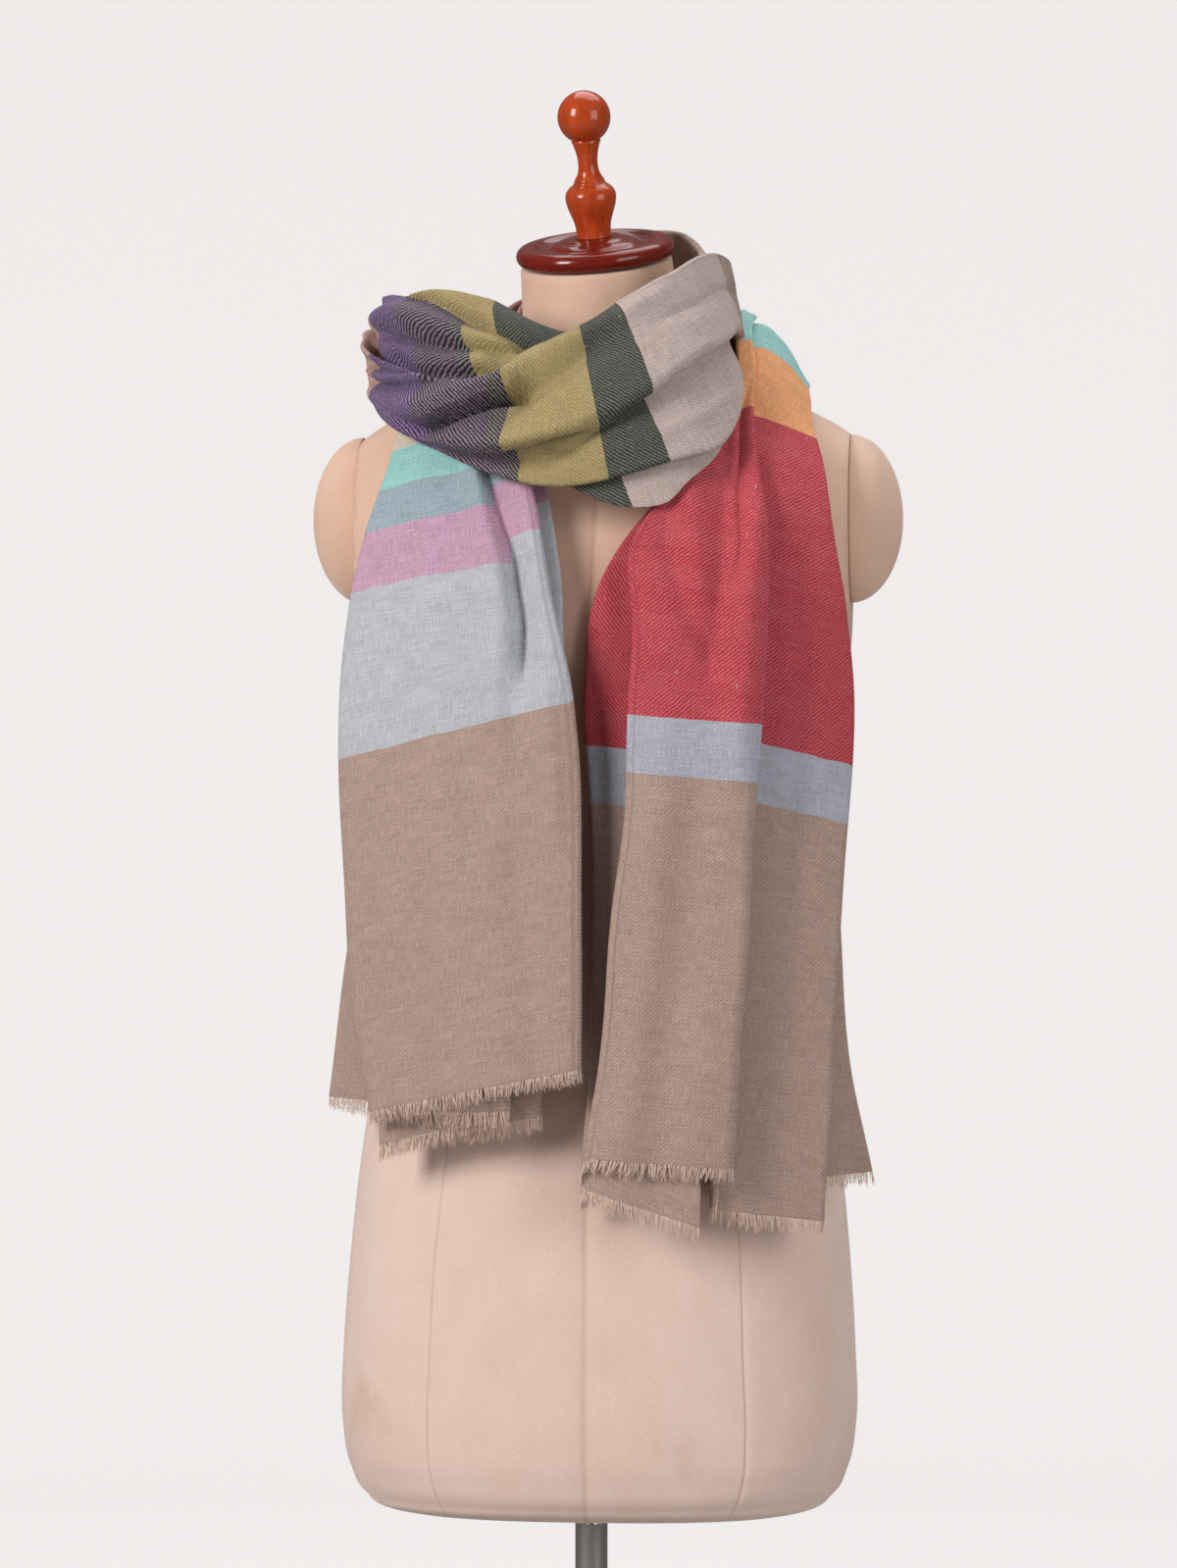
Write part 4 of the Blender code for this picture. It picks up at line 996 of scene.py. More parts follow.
def suede_material():
    """Soft suede cover with mottling, a short nap, darker seam lines and a warmer tint towards the top.
    """
    settings = bpy.context.scene.dress_form
    material, tree, shader = new_material("suede_cover")
    links = tree.links
    place = object_place(tree, (-7, 0))
    cloud = stretched_noise(tree, place, (7, 7, 4), (-6, 0), detail=5.0)
    mottle = stretched_noise(tree, place, (46, 46, 30), (-6, 1), detail=6.0)
    nap = stretched_noise(tree, place, (900, 900, 500), (-6, 2), detail=3.0)
    soil = stretched_noise(tree, place, (13, 13, 9), (-6, 3), detail=7.0)
    blend = math_node(tree, "MULTIPLY_ADD", (-4, 0), cloud, 1.0, -0.25)
    blend = math_node(tree, "MULTIPLY_ADD", (-3, 0), mottle, 0.55, blend)
    shade = mix_colour(tree, (-2, 0), blend, settings.cover_dark, settings.cover)
    level = add_node(tree, "ShaderNodeSeparateXYZ", (-6, -1))
    links.new(place, level.inputs["Vector"])
    # the cover turns warmer with height, multiplied by the cover warmth from 0.78 m to 1.12 m high
    warmth = smooth_step(tree, (-5, -1), level.outputs["Z"], 0.78, 1.12)
    warm = mix_colour(tree, (-3, -1), 1.0, shade, settings.cover_warm, "MULTIPLY")
    shade = mix_colour(tree, (-2, -1), warmth, shade, warm)
    grain = math_node(tree, "MULTIPLY_ADD", (-2, 2), nap, 0.22, 0.89)
    shade = mix_colour(tree, (-1, 0), 1.0, shade, grain, "MULTIPLY")
    stain = smooth_step(tree, (-4, 3), soil, 0.62, 0.80)
    spotted = math_node(tree, "MULTIPLY", (-3, 3), stain, 0.35)
    shade = mix_colour(tree, (0, 0), spotted, shade, screen(170, 130, 96))
    seam = add_node(tree, "ShaderNodeAttribute", (-2, 4), attribute_name="seam")
    line = math_node(tree, "MULTIPLY", (-1, 4), seam.outputs["Fac"], 0.22)
    shade = mix_colour(tree, (1, 0), line, shade, screen(150, 112, 90))
    links.new(shade, shader.inputs["Base Color"])
    finish(shader, Roughness=0.93, Specular_IOR_Level=0.2, Sheen_Weight=0.35, Sheen_Roughness=0.5)
    height = math_node(tree, "MULTIPLY_ADD", (-1, 5), mottle, 2.0, nap)
    bump_by(tree, shader, (1, 5), height, 0.35, 0.0006)
    return material


def wood_material(name, base, tilt):
    """Turned and varnished wood with grain along its length."""
    material, tree, shader = new_material(name)
    links = tree.links
    place = object_place(tree, (-7, 0))
    turn = add_node(tree, "ShaderNodeMapping", (-6, 0))
    turn.inputs["Rotation"].default_value = tilt
    links.new(place, turn.inputs["Vector"])
    turned_place = turn.outputs["Vector"]
    grain = stretched_noise(tree, turned_place, (420, 420, 22), (-5, 0), detail=5.0)
    streak = stretched_noise(tree, turned_place, (90, 90, 6), (-5, 1), detail=3.0)
    pores = stretched_noise(tree, turned_place, (1500, 1500, 70), (-5, 2))
    light = tuple(min(value * 1.55, 1.0) for value in base)
    dark = tuple(value * 0.42 for value in base)
    blend = math_node(tree, "MULTIPLY_ADD", (-3, 0), grain, 0.7, -0.10)
    blend = math_node(tree, "MULTIPLY_ADD", (-2, 0), streak, 0.6, blend)
    shade = mix_colour(tree, (-1, 0), blend, dark, light)
    pored = math_node(tree, "MULTIPLY_ADD", (-2, 2), pores, 0.5, 0.75)
    shade = mix_colour(tree, (0, 0), 1.0, shade, pored, "MULTIPLY")
    links.new(shade, shader.inputs["Base Color"])
    rough = math_node(tree, "MULTIPLY_ADD", (-1, 3), streak, 0.12, 0.16)
    links.new(rough, shader.inputs["Roughness"])
    finish(shader, Specular_IOR_Level=0.22, Coat_Weight=0.35, Coat_Roughness=0.06)
    bump_by(tree, shader, (0, 4), grain, 0.06, 0.0004)
    return material


def chrome_material(name, wear):
    """Polished metal with faint lengthwise scratches and a few specks."""
    settings = bpy.context.scene.dress_form
    material, tree, shader = new_material(name)
    links = tree.links
    place = object_place(tree, (-6, 0))
    scratch = stretched_noise(tree, place, (1200, 1200, 30), (-5, 0))
    speck = stretched_noise(tree, place, (260, 260, 200), (-5, 1))
    spots = smooth_step(tree, (-3, 1), speck, 0.70, 0.78)
    spotted = math_node(tree, "MULTIPLY", (-2, 1), spots, wear)
    shade = mix_colour(tree, (-1, 0), spotted, settings.metal, screen(96, 78, 66))
    links.new(shade, shader.inputs["Base Color"])
    finish(shader, Metallic=1.0)
    rough = math_node(tree, "MULTIPLY_ADD", (-2, 2), scratch, 0.12, 0.04)
    links.new(rough, shader.inputs["Roughness"])
    return material


# ------------------------------------------------------------------ mesh helpers
def place_piece(name, mesh, material, nodes):
    """Put a finished mesh in the scene as one piece that rides on the body."""
    mesh.materials.append(material)
    piece = bpy.data.objects.new(name, mesh)
    bpy.context.scene.collection.objects.link(piece)
    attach(piece, "root")
    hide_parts(*nodes)
    return piece


def mesh_from(shape, name, smooth_angle=None):
    """A mesh from a bmesh, shaded smooth, with sharp edges past an angle."""
    mesh = bpy.data.meshes.new(name)
    shape.to_mesh(mesh)
    shape.free()
    mesh.shade_smooth()
    if smooth_angle is not None:
        mesh.set_sharp_from_angle(angle=math.radians(smooth_angle))
    return mesh


def mark_seam(mesh, values):
    """Store how near each point is to a seam, for the cover's darker seam lines."""
    layer = mesh.attributes.new("seam", "FLOAT", "POINT")
    layer.data.foreach_set("value", values)


def cloth_sheet(name, bundle, along_rows, settings):
    """A grid moved to its place on the bundle, with cloth coordinates in metres."""
    column = section_columns(settings.layer_columns, settings.turn_columns)
    count = len(column["order"])
    along = np.array(along_rows)
    inside = np.clip(along, 0.0, bundle.length)
    spread = {key: np.broadcast_to(value, along.shape) for key, value in column.items()}
    points, across = bundle.place(along, spread)
    width = float(np.linalg.norm(np.diff(points, axis=1), axis=2).sum(axis=1).mean())
    order = spread["order"]
    weave_u = spread["heading"] * across * MM
    weave_v = (along - bundle.stripe_lead(inside, bundle.weave_order(inside, order))) * MM
    dye_v = (along - bundle.stripe_lead(inside, order)) * MM
    dye_v = dye_v - bundle.stripe_slip(inside, across) * MM
    shape = bmesh.new()
    bmesh.ops.create_grid(shape, x_segments=count - 1, y_segments=len(along) - 1, size=1.0)
    weave_layer = shape.loops.layers.uv.new("cloth")
    dye_layer = shape.loops.layers.uv.new("dye")
    for vert in shape.verts:
        col = round((vert.co.x + 1.0) / 2.0 * (count - 1))
        row = round((vert.co.y + 1.0) / 2.0 * (len(along) - 1))
        vert.index = row * count + col
    places = points.reshape(-1, 3)
    flat_u = weave_u.ravel()
    flat_v = weave_v.ravel()
    flat_dye = dye_v.ravel()
    for face in shape.faces:
        for loop in face.loops:
            spot = loop.vert.index
            loop[weave_layer].uv = (flat_u[spot], flat_v[spot])
            loop[dye_layer].uv = (flat_u[spot], flat_dye[spot])
    for vert in shape.verts:
        vert.co = places[vert.index]
    return mesh_from(shape, name), width


def rows_between(start, finish, count_points, pitch):
    """Rows of distances along the route that turn evenly from one line to another."""
    start = np.zeros(count_points) + start
    finish = np.zeros(count_points) + finish
    count = max(2, round(float(np.mean(finish - start)) / pitch))
    return [start + (finish - start) * i / count for i in range(count + 1)]


# ------------------------------------------------------------------ operators
class OBJECT_OT_shawl_cloth(bpy.types.Operator):
    """Weave the shawl's five stretches round the form"""

    bl_idname = "object.shawl_cloth"
    bl_label = "Shawl"

    def execute(self, context):
        settings = context.scene.shawl
        bundle = Bundle()
        material = cloth_material()
        order = section_columns(settings.layer_columns, settings.turn_columns)["order"]
        spacing = (len(order), settings.row_pitch / MM)
        left_bust = bundle.station(LEFT_BUST)
        right_bust = bundle.station(RIGHT_BUST)
        low_hem = hem_offsets(HEM_LEFT, order)
        high_hem = bundle.length + hem_offsets(HEM_RIGHT, order)
        cuts = [bundle.station(number) for number in CUTS]
        ends = [(before + SEAM / 2, after - SEAM / 2) for before, after in zip(cuts, cuts[1:])]
        left = rows_between(low_hem, left_bust, *spacing)[:-1]
        left += rows_between(left_bust, cuts[0] - SEAM / 2, *spacing)
        right = rows_between(cuts[-1] + SEAM / 2, right_bust, *spacing)[:-1]
        right += rows_between(right_bust, high_hem, *spacing)
        turns = [rows_between(*pair, *spacing) for pair in ends]
        stretches = (
            ("panel_left", "hung", left),
            ("wrap_inner", "folded", turns[0]),
            ("band_front", "folded", turns[1]),
            ("wrap_outer", "folded", turns[2]),
            ("panel_right", "hung", right),
        )
        for name, held, rows in stretches:
            mesh, width = cloth_sheet(name + "_cloth", bundle, rows, settings)
            piece = place_piece("shawl_" + name, mesh, material, [name])
            wall = piece.modifiers.new("Cloth wall", "SOLIDIFY")
            wall.thickness = settings.wall
            wall.offset = 0.0
            wall.use_rim = True
            wall.use_even_offset = False
            level_light = piece.modifiers.new("Even shading", "WEIGHTED_NORMAL")
            level_light.weight = 80
        return {"FINISHED"}


class OBJECT_OT_shawl_fringe(bpy.types.Operator):
    """Add the loose yarn ends along both hems"""

    bl_idname = "object.shawl_fringe"
    bl_label = "Fringe"

    def execute(self, context):
        settings = context.scene.shawl
        bundle = Bundle()
        material = yarn_material()
        column = section_columns(settings.layer_columns, settings.turn_columns)
        for name, hem, origin, sense in (
            ("fringe_left", HEM_LEFT, 0.0, -1.0),
            ("fringe_right", HEM_RIGHT, bundle.length, 1.0),
        ):
            lines = []
            for reach in FRINGE_REACHES:
                along = origin + hem_offsets(hem, column["order"]) + sense * reach
                lines.append(bundle.place(along, column)[0])
            mesh = self.hairs(name, lines, settings)
            place_piece("shawl_" + name, mesh, material, [name])
        return {"FINISHED"}

    def hairs(self, name, lines, settings):
        """Thin tapering yarn ends, each a curve that leans and curls a little."""
        root, edge, below = (np.array(line) for line in lines)
        steps = np.linalg.norm(np.diff(edge, axis=0), axis=1)
        marks = np.concatenate(([0.0], np.cumsum(steps)))
        rng = np.random.default_rng(FRINGE_SEEDS[name])
        yarn = bpy.data.curves.new(name, "CURVE")
        yarn.dimensions = "3D"
        yarn.bevel_depth = YARN_RADIUS
        yarn.bevel_resolution = 0
        yarn.resolution_u = 1
        tufts = settings.fringe_tufts
        for number in range(tufts):
            centre = (number + rng.uniform(-0.35, 0.35)) / (tufts - 1) * marks[-1]
            lean = rng.normal(0.0, 0.14) + 0.16 * math.sin(centre / 0.0112)
            lift = rng.normal(0.0, 0.10)
            reach = settings.fringe_length * rng.uniform(0.68, 1.15)
            reach = reach * (0.9 + 0.1 * math.sin(centre / 0.019))
            gather = rng.uniform(0.1, 0.9)
            for _ in range(settings.tuft_hairs):
                spread = rng.uniform(-1.0, 1.0)
                mark = min(max(centre + spread * TUFT_WIDTH, 0.0), marks[-1])
                start, hem_point, ahead = (
                    np.array([np.interp(mark, marks, axis) for axis in line.T])
                    for line in (root, edge, below)
                )
                first = max(mark - HEM_STEP, 0.0)
                last = min(mark + HEM_STEP, marks[-1])
                ends = np.array([np.interp((first, last), marks, line) for line in edge.T])
                beside = ends[:, 1] - ends[:, 0]
                along_hem = beside / max(np.linalg.norm(beside), 1e-9)
                fall = ahead - hem_point
                fall = fall / np.linalg.norm(fall)
                face = np.cross(fall, along_hem)
                length = reach * rng.uniform(0.75, 1.05)
                curl = rng.normal(0.0, 0.10)
                inward = -spread * gather * TUFT_WIDTH
                spline = yarn.splines.new("POLY")
                spline.points.add(len(YARN_STEPS) - 1)
                for index, share in enumerate(YARN_STEPS):
                    side = length * (lean * share + curl * share * share) + inward * share
                    point = hem_point + fall * length * share + along_hem * side
                    point = point + face * length * lift * share
                    if index == 0:
                        point = start
                    spline.points[index].co = (*point, 1.0)
                    spline.points[index].radius = 1.0 - 0.5 * share
        holder = bpy.data.objects.new(name + "_curve", yarn)
        bpy.context.scene.collection.objects.link(holder)
        bpy.context.view_layer.update()
        ready = holder.evaluated_get(bpy.context.evaluated_depsgraph_get())
        mesh = bpy.data.meshes.new_from_object(ready)
        bpy.data.objects.remove(holder)
        mesh.shade_smooth()
        return mesh


def ring_stack(rings):
    """A closed skin: the first ring is a circle, and each next one is extruded from it."""
    shape = bmesh.new()
    made = bmesh.ops.create_circle(shape, segments=len(rings[0]), radius=1.0)
    verts = sorted(made["verts"], key=lambda vert: math.atan2(vert.co.y, vert.co.x) % (2 * math.pi))
    edges = shape.edges[:]
    low_rim = edges
    for vert, point in zip(verts, rings[0]):
        vert.co = point
    for ring in rings[1:]:
        grown = bmesh.ops.extrude_edge_only(shape, edges=edges)["geom"]
        new_edges = [item for item in grown if isinstance(item, bmesh.types.BMEdge)]
        new_verts = {item for item in grown if isinstance(item, bmesh.types.BMVert)}
        following = []
        for vert in verts:
            above = [edge.other_vert(vert) for edge in vert.link_edges]
            following.append(next(other for other in above if other in new_verts))
        verts = following
        for vert, point in zip(verts, ring):
            vert.co = point
        edges = [edge for edge in new_edges if all(vert in new_verts for vert in edge.verts)]
    for rim in (low_rim, edges):
        bmesh.ops.holes_fill(shape, edges=rim, sides=0)
    bmesh.ops.recalc_face_normals(shape, faces=shape.faces[:])
    return shape


def cut_flat(shape, faces, point, outward):
    """Cut faces off outward of a plane and close the cut."""
    chosen = set(faces)
    edges = [edge for edge in shape.edges if not chosen.isdisjoint(edge.link_faces)]
    verts = [vert for vert in shape.verts if not chosen.isdisjoint(vert.link_faces)]
    bmesh.ops.bisect_plane(
        shape, geom=verts + edges + faces, dist=0.00001, plane_co=point, plane_no=outward,
        clear_outer=True,
    )
    rim = [edge for edge in shape.edges if edge.is_boundary]
    bmesh.ops.holes_fill(shape, edges=rim, sides=0)


def spun(outline, steps, merge):
    """A shape spun round Z from radius and height pairs in metres."""
    shape = bmesh.new()
    verts = [shape.verts.new((radius, 0.0, height)) for radius, height in outline]
    edges = [shape.edges.new(pair) for pair in zip(verts, verts[1:])]
    bmesh.ops.spin(
        shape, geom=verts + edges, cent=(0, 0, 0), axis=(0, 0, 1), dvec=(0, 0, 0),
        angle=2 * math.pi, steps=steps, use_merge=True, use_normal_flip=False, use_duplicate=False,
    )
    bmesh.ops.remove_doubles(shape, verts=shape.verts[:], dist=merge)
    return shape


def turned_shape(profile, steps, place=Matrix.Identity(4)):
    """A piece spun from radius and height pairs in mm, then moved to its place."""
    shape = spun([(radius * MM, height * MM) for radius, height in profile], steps, 0.000005)
    bmesh.ops.recalc_face_normals(shape, faces=shape.faces[:])
    bmesh.ops.transform(shape, matrix=place, verts=shape.verts[:])
    return shape


def arc(centre_radius, centre_height, radius, start, end, count):
    """Points of a circular arc in a turned profile, angles in degrees from level."""
    points = []
    for index in range(count + 1):
        angle = math.radians(start + (end - start) * index / count)
        across = centre_radius + radius * math.cos(angle)
        points.append((max(across, 0.0), centre_height + radius * math.sin(angle)))
    return points


def flowing(points, count):
    """A smooth profile through given radius and height pairs."""
    lengths = np.linalg.norm(np.diff(np.array(points, dtype=float), axis=0), axis=1)
    knots = np.concatenate(([0.0], np.cumsum(lengths)))
    table = SmoothTable(knots, points, middle_slopes)
    return [tuple(row) for row in table.at(np.linspace(0.0, knots[-1], count))]


def head_tilt():
    """Turn and place of the tilted cap on the neck."""
    roll = Matrix.Rotation(math.radians(-CAP_ROLL), 4, "Y")
    tilt = Matrix.Rotation(math.radians(NECK_TILT), 4, "X")
    return Matrix.Translation(Vector(NECK_TOP) * MM) @ roll @ tilt


class OBJECT_OT_form_torso(bpy.types.Operator):
    """Cover the torso and both shoulder ends in suede"""

    bl_idname = "object.form_torso"
    bl_label = "Torso"

    def execute(self, context):
        material = suede_material()
        table = np.array(TORSO, dtype=float)
        profile = SmoothTable(table[:, 0], table[:, 1:], middle_slopes)
        places = np.linspace(0, 1, TORSO_RINGS)
        heights = np.interp(places, np.linspace(0, 1, len(table)), table[:, 0])
        seams = np.radians(SEAM_TURNS)
        turns = list(np.radians(np.arange(TORSO_SIDES) * 360.0 / TORSO_SIDES))
        near = SEAM_HALF_WIDTH / TORSO_MEAN_RADIUS
        turns = [turn for turn in turns if min(abs(turn - seam) for seam in seams) > 1.6 * near]
        for seam in seams:
            turns += [seam - near, seam - near / 3, seam, seam + near / 3, seam + near]
        turns = np.array(sorted(turn % (2 * math.pi) for turn in turns))
        groove = np.zeros(len(turns))
        for seam in seams:
            gap = np.abs((turns - seam + math.pi) % (2 * math.pi) - math.pi)
            groove = np.maximum(groove, 1.0 - ease(gap / near))
        rings = []
        for height in heights:
            half_width, half_depth, centre_x, centre_y, power = profile.at(height)
            cosine = np.cos(turns)
            sine = np.sin(turns)
            inset = TORSO_INSET + SEAM_DEPTH * groove
            wide = (half_width - inset) * np.sign(cosine) * np.abs(cosine) ** (2 / power)
            deep = (half_depth - inset) * np.sign(sine) * np.abs(sine) ** (2 / power)
            level = np.full(len(turns), max(height, TORSO_FLOOR + 0.2))
            ring = np.stack((centre_x + wide, centre_y + deep, level), axis=1)
            rings.append(ring * MM)
        shape = ring_stack(rings)
        for sense in (-1.0, 1.0):
            plane = Vector(((ARMHOLE_CENTRE_X + sense * ARMHOLE_X) * MM, 0, 0))
            upper = [
                face for face in shape.faces if face.calc_center_median().z > ARMHOLE_FLOOR * MM
            ]
            cut_flat(shape, upper, plane, Vector((sense, 0, 0)))
        bmesh.ops.recalc_face_normals(shape, faces=shape.faces[:])
        mesh = mesh_from(shape, "torso_cover", 50)
        mark_seam(mesh, self.seam_values(mesh, profile, turns, groove))
        place_piece("form_torso", mesh, material, ["torso"])
        self.shoulder_ends(material)
        return {"FINISHED"}

    def seam_values(self, mesh, profile, turns, groove):
        """How near each point is to a seam of the torso."""
        values = np.zeros(len(mesh.vertices))
        for index, vert in enumerate(mesh.vertices):
            x, y, z = (value / MM for value in vert.co)
            half_width, half_depth, centre_x, centre_y, power = profile.at(z)
            wide = (x - centre_x) / (half_width - TORSO_INSET)
            deep = (y - centre_y) / (half_depth - TORSO_INSET)
            cosine = math.copysign(abs(wide) ** (power / 2), wide)
            sine = math.copysign(abs(deep) ** (power / 2), deep)
            turn = math.atan2(sine, cosine) % (2 * math.pi)
            values[index] = np.interp(turn, turns, groove, period=2 * math.pi)
            if z > ARMHOLE_FLOOR and abs(abs(x - ARMHOLE_CENTRE_X) - ARMHOLE_X) < 0.5:
                values[index] = 1.0
        return values.astype(np.float32)

    def shoulder_ends(self, material):
        """The rounded ends that close the armholes, with a pressed seam round each."""
        for side, sense in (("left", -1.0), ("right", 1.0)):
            shape = bmesh.new()
            bmesh.ops.create_uvsphere(shape, u_segments=72, v_segments=48, radius=1.0)
            cut_flat(shape, shape.faces[:], (0, 0, 0), (0, 0, -1))
            rim = [edge for edge in shape.edges if all(abs(v.co.z) < 0.001 for v in edge.verts)]
            bmesh.ops.scale(shape, vec=[size * MM for size in SHOULDER_CAP], verts=shape.verts[:])
            bmesh.ops.bevel(
                shape, geom=rim, offset=SHOULDER_EDGE * MM, affect="EDGES", segments=3,
                profile=0.5, material=-1,
            )
            quarter = Matrix.Rotation(math.radians(90.0 * sense), 3, "Y")
            bmesh.ops.rotate(shape, matrix=quarter, verts=shape.verts[:])
            reach = ARMHOLE_CENTRE_X + sense * (ARMHOLE_X + SEAM)
            shift = Vector((reach, SHOULDER_CAP_Y, SHOULDER_CAP_Z)) * MM
            bmesh.ops.translate(shape, vec=shift, verts=shape.verts[:])
            bmesh.ops.recalc_face_normals(shape, faces=shape.faces[:])
            mesh = mesh_from(shape, "shoulder_end_" + side, 50)
            mark_seam(mesh, [1.0 if abs(v.co.x / MM - reach) < 1.0 else 0.0 for v in mesh.vertices])
            node = "shoulder_cap_" + side
            place_piece("form_" + node, mesh, material, [node])


class OBJECT_OT_form_neck(bpy.types.Operator):
    """Cover the neck in suede"""

    bl_idname = "object.form_neck"
    bl_label = "Neck"

    def execute(self, context):
        material = bpy.data.materials["suede_cover"]
        rings = []
        turns = np.linspace(0.0, 2 * math.pi, NECK_SIDES, endpoint=False)
        for ring in range(NECK_RINGS + 1):
            share = ring / NECK_RINGS
            radius = NECK_BASE_RADIUS + (NECK_TOP_RADIUS - NECK_BASE_RADIUS) * share ** 0.6
            radius = radius - TORSO_INSET * ease((share - 0.96) / 0.04)
            centre = np.array(NECK_BASE) + (np.array(NECK_TOP) - np.array(NECK_BASE)) * share
            x = radius * np.cos(turns)
            y = radius * np.sin(turns)
            z = (y * math.tan(math.radians(NECK_TILT)) + x * math.tan(math.radians(CAP_ROLL))) * share
            rings.append((centre + np.stack((x, y, z), axis=1)) * MM)
        shape = ring_stack(rings)
        mesh = mesh_from(shape, "neck_cover", 50)
        place_piece("form_neck", mesh, material, ["neck"])
        return {"FINISHED"}


class OBJECT_OT_form_head(bpy.types.Operator):
    """Turn the wooden neck cap and its finial"""

    bl_idname = "object.form_head"
    bl_label = "Neck cap and finial"

    def execute(self, context):
        settings = context.scene.dress_form
        lean = (math.radians(-NECK_TILT), math.radians(CAP_ROLL), 0.0)
        place = head_tilt()
        profile = flowing(CAP_TOP, 46) + arc(47.6, 7.2, 6.5, 76, -72, 22)
        profile += [(47.6, 0.6), (46.0, 0.3), (0.0, 0.3)]
        shape = turned_shape(profile, 128, place)
        material = wood_material("dark_varnished_wood", settings.cap_wood, lean)
        mesh = mesh_from(shape, "neck_cap_wood", 40)
        place_piece("form_neck_cap", mesh, material, ["neck_cap"])
        profile = arc(0.0, 82.0, 18.0, 90, -58, 30)
        profile += [(9.9, 65.6), (9.9, 64.9), (9.2, 64.4), *flowing(FINIAL_NECK, 22)]
        profile += [*FINIAL_RING, *flowing(FINIAL_BODY, 34), (11.6, 0.3), (0.0, 0.3)]
        lifted = place @ Matrix.Translation((0.0, 0.0, CAP_RISE * MM))
        shape = turned_shape(profile, 96, lifted)
        material = wood_material("varnished_wood", settings.finial_wood, lean)
        mesh = mesh_from(shape, "finial_wood", 40)
        place_piece("form_finial", mesh, material, ["finial"])
        return {"FINISHED"}


class OBJECT_OT_form_stand(bpy.types.Operator):
    """Polish the pole, its collar and the round base"""

    bl_idname = "object.form_stand"
    bl_label = "Stand"

    def execute(self, context):
        chrome = chrome_material("polished_pole", 0.8)
        top = TORSO_FLOOR - SEAM
        foot = BASE_HEIGHT + SEAM
        pole = [(0.0, top), (POLE_RADIUS - 0.5, top), (POLE_RADIUS, top - 0.5)]
        pole += [(POLE_RADIUS, foot + 0.5), (POLE_RADIUS - 0.5, foot), (0.0, foot)]
        inner = POLE_RADIUS + SEAM
        collar = [(inner, top)] + [(radius, top - drop) for radius, drop in COLLAR_RIM]
        collar += [(inner, top - COLLAR_HEIGHT), (inner, top)]
        base = [(0.0, BASE_HEIGHT), (30.0, BASE_HEIGHT), *flowing(BASE_TOP, 16)]
        base += arc(209.5, 3.6, 5.4, 62, 0, 8)
        base += [(BASE_RADIUS, 0.9), (214.2, 0.2), (212.8, 0.0), (0.0, 0.0)]
        plate = chrome_material("polished_base", 0.3)
        for name, node, profile, steps, metal in (
            ("stand_pole", "pole", pole, 72, chrome),
            ("stand_pole_collar", "pole_collar", collar, 72, chrome),
            ("stand_base_plate", "stand_base", base, 128, plate),
        ):
            mesh = mesh_from(turned_shape(profile, steps), name, 30)
            place_piece(name, mesh, metal, [node])
        return {"FINISHED"}


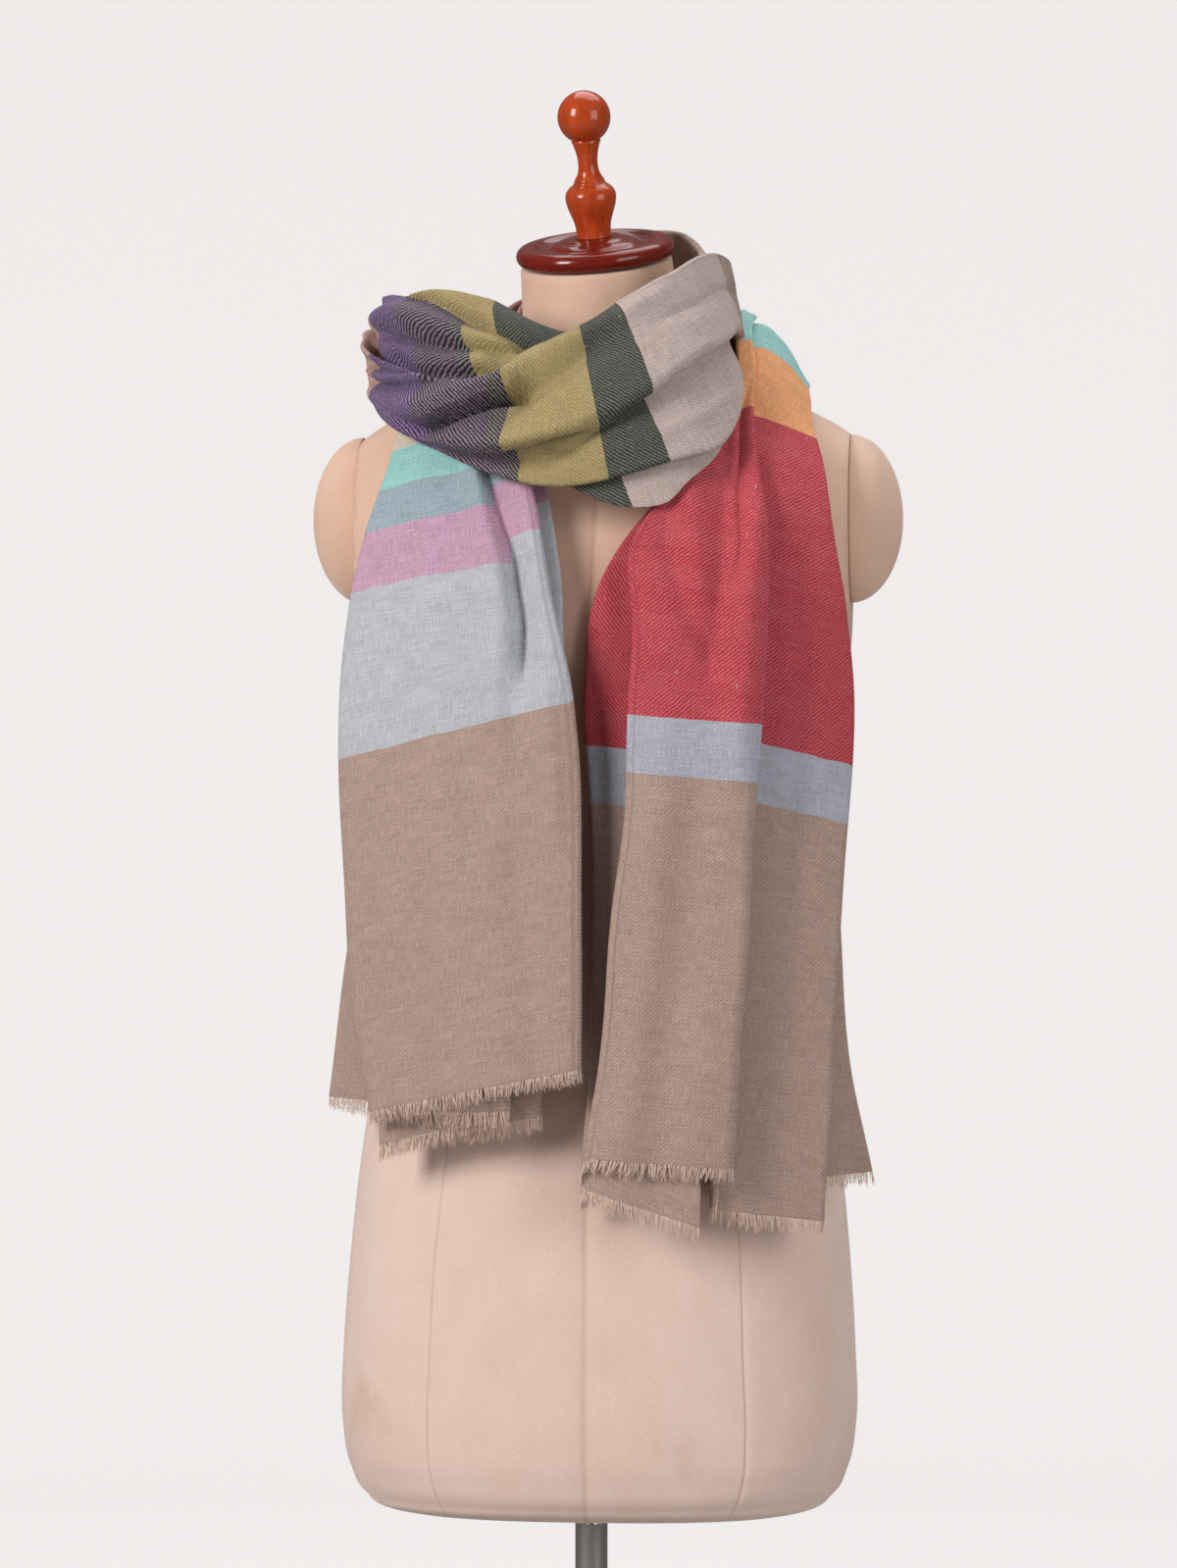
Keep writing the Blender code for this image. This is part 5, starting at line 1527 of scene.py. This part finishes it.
class OBJECT_OT_studio_stage(bpy.types.Operator):
    """Set up the pale floor and backdrop, the soft lights and the camera"""

    bl_idname = "object.studio_stage"
    bl_label = "Stage"

    def execute(self, context):
        settings = context.scene.stage
        self.backdrop(settings)
        self.lights(settings)
        camera = bpy.data.cameras.new("camera")
        camera.lens = CAMERA_LENS
        camera.sensor_width = 36.0
        camera.clip_end = 40.0
        holder = bpy.data.objects.new("camera", camera)
        turn = math.radians(CAMERA_TURN)
        back = Vector((math.sin(turn), -math.cos(turn), 0.0))
        holder.location = Vector(CAMERA_TARGET) + back * CAMERA_DISTANCE
        holder.rotation_euler = (-back).to_track_quat("-Z", "Y").to_euler()
        context.scene.collection.objects.link(holder)
        context.scene.camera = holder
        context.scene.view_settings.view_transform = "Standard"
        return {"FINISHED"}

    def backdrop(self, settings):
        """A round floor that curves up into a wall on every side."""
        outline = [(0.0, 0.0), (STAGE_RADIUS - STAGE_BEND, 0.0)]
        for step in range(1, STAGE_STEPS + 1):
            angle = math.radians(90.0 * step / STAGE_STEPS)
            radius = STAGE_RADIUS - STAGE_BEND + STAGE_BEND * math.sin(angle)
            outline.append((radius, STAGE_BEND * (1.0 - math.cos(angle))))
        outline.append((STAGE_RADIUS, STAGE_BEND + STAGE_WALL))
        shape = spun(outline, 96, 0.0005)
        bmesh.ops.translate(shape, vec=(0, 0, -0.0005), verts=shape.verts[:])
        shape.normal_update()
        if min(shape.faces, key=lambda face: face.calc_center_median().length).normal.z < 0:
            bmesh.ops.reverse_faces(shape, faces=shape.faces[:])
        mesh = mesh_from(shape, "backdrop")
        material, tree, shader = new_material("pale_backdrop")
        place = object_place(tree, (-5, 0))
        mottle = stretched_noise(tree, place, (2.0, 2.0, 2.0), (-4, 0), detail=3.0)
        ground = tuple(value * settings.floor_share for value in settings.ground)
        dim = tuple(value * 0.97 for value in ground)
        tree.links.new(mix_colour(tree, (-1, 0), mottle, dim, ground), shader.inputs["Base Color"])
        finish(shader, Roughness=0.95, Specular_IOR_Level=0.1)
        seen = add_node(tree, "ShaderNodeLightPath", (-3, 2)).outputs["Is Camera Ray"]
        glow = math_node(tree, "MULTIPLY", (-2, 2), seen, settings.glow)
        finish(shader, Emission_Color=(*settings.ground, 1.0))
        tree.links.new(glow, shader.inputs["Emission Strength"])
        rear = add_node(tree, "ShaderNodeNewGeometry", (-3, 3)).outputs["Backfacing"]
        clear = math_node(tree, "MULTIPLY", (-2, 3), rear, seen)
        tree.links.new(math_node(tree, "SUBTRACT", (-1, 3), 1.0, clear), shader.inputs["Alpha"])
        mesh.materials.append(material)
        floor = bpy.data.objects.new("backdrop", mesh)
        bpy.context.scene.collection.objects.link(floor)

    def lights(self, settings):
        """Two large soft lights in front, one above and the room's own glow."""
        rows = (
            ("key", (-2.3, -2.5, 2.3), 1.1, 1.5, settings.key_power, (1.0, 0.985, 0.97)),
            ("fill", (2.6, -2.2, 1.7), 1.8, 2.2, settings.fill_power, (0.98, 0.99, 1.0)),
            ("top", (0.2, 0.6, 3.6), 2.4, 2.0, settings.fill_power * 0.9, (1.0, 1.0, 1.0)),
        )
        for name, place, wide, high, power, tint in rows:
            light = bpy.data.lights.new(name, "AREA")
            light.shape = "RECTANGLE"
            light.size = wide
            light.size_y = high
            light.energy = power
            light.color = tint
            holder = bpy.data.objects.new(name, light)
            holder.location = place
            aim = Vector(LIGHT_AIM) - Vector(place)
            holder.rotation_euler = aim.to_track_quat("-Z", "Y").to_euler()
            holder.visible_camera = False
            bpy.context.scene.collection.objects.link(holder)
        world = bpy.data.worlds.new("studio")
        world.use_nodes = True
        glow = world.node_tree.nodes["Background"]
        glow.inputs["Color"].default_value = (1.0, 0.995, 0.99, 1.0)
        glow.inputs["Strength"].default_value = settings.sky_level
        bpy.context.scene.world = world


class VIEW3D_PT_shawl(bpy.types.Panel):
    """Lists the pieces of the shawl, the form and the stage"""

    bl_idname = "VIEW3D_PT_shawl"
    bl_label = "Wound Shawl"
    bl_space_type = "VIEW_3D"
    bl_region_type = "UI"
    bl_category = "Shawl"

    def draw(self, context):
        layout = self.layout
        for step in STEPS:
            layout.operator(step.bl_idname, text=step.bl_label)
        scene = context.scene
        for settings in (scene.shawl, scene.dress_form, scene.stage):
            box = layout.box()
            for name in settings.bl_rna.properties.keys():
                if name not in ("rna_type", "name"):
                    box.prop(settings, name)


STEPS = (
    OBJECT_OT_studio_stage,
    OBJECT_OT_shawl_cloth,
    OBJECT_OT_shawl_fringe,
    OBJECT_OT_form_torso,
    OBJECT_OT_form_neck,
    OBJECT_OT_form_head,
    OBJECT_OT_form_stand,
)
CLASSES = (ShawlSettings, FormSettings, StageSettings, *STEPS, VIEW3D_PT_shawl)


def register():
    for cls in CLASSES:
        bpy.utils.register_class(cls)
    bpy.types.Scene.shawl = PointerProperty(type=ShawlSettings)
    bpy.types.Scene.dress_form = PointerProperty(type=FormSettings)
    bpy.types.Scene.stage = PointerProperty(type=StageSettings)


def unregister():
    del bpy.types.Scene.stage
    del bpy.types.Scene.dress_form
    del bpy.types.Scene.shawl
    for cls in reversed(CLASSES):
        bpy.utils.unregister_class(cls)


def main():
    register()
    bpy.ops.object.studio_stage()
    bpy.ops.object.shawl_cloth()
    bpy.ops.object.shawl_fringe()
    bpy.ops.object.form_torso()
    bpy.ops.object.form_neck()
    bpy.ops.object.form_head()
    bpy.ops.object.form_stand()
    bpy.context.view_layer.update()


if __name__ == "__main__":
    main()
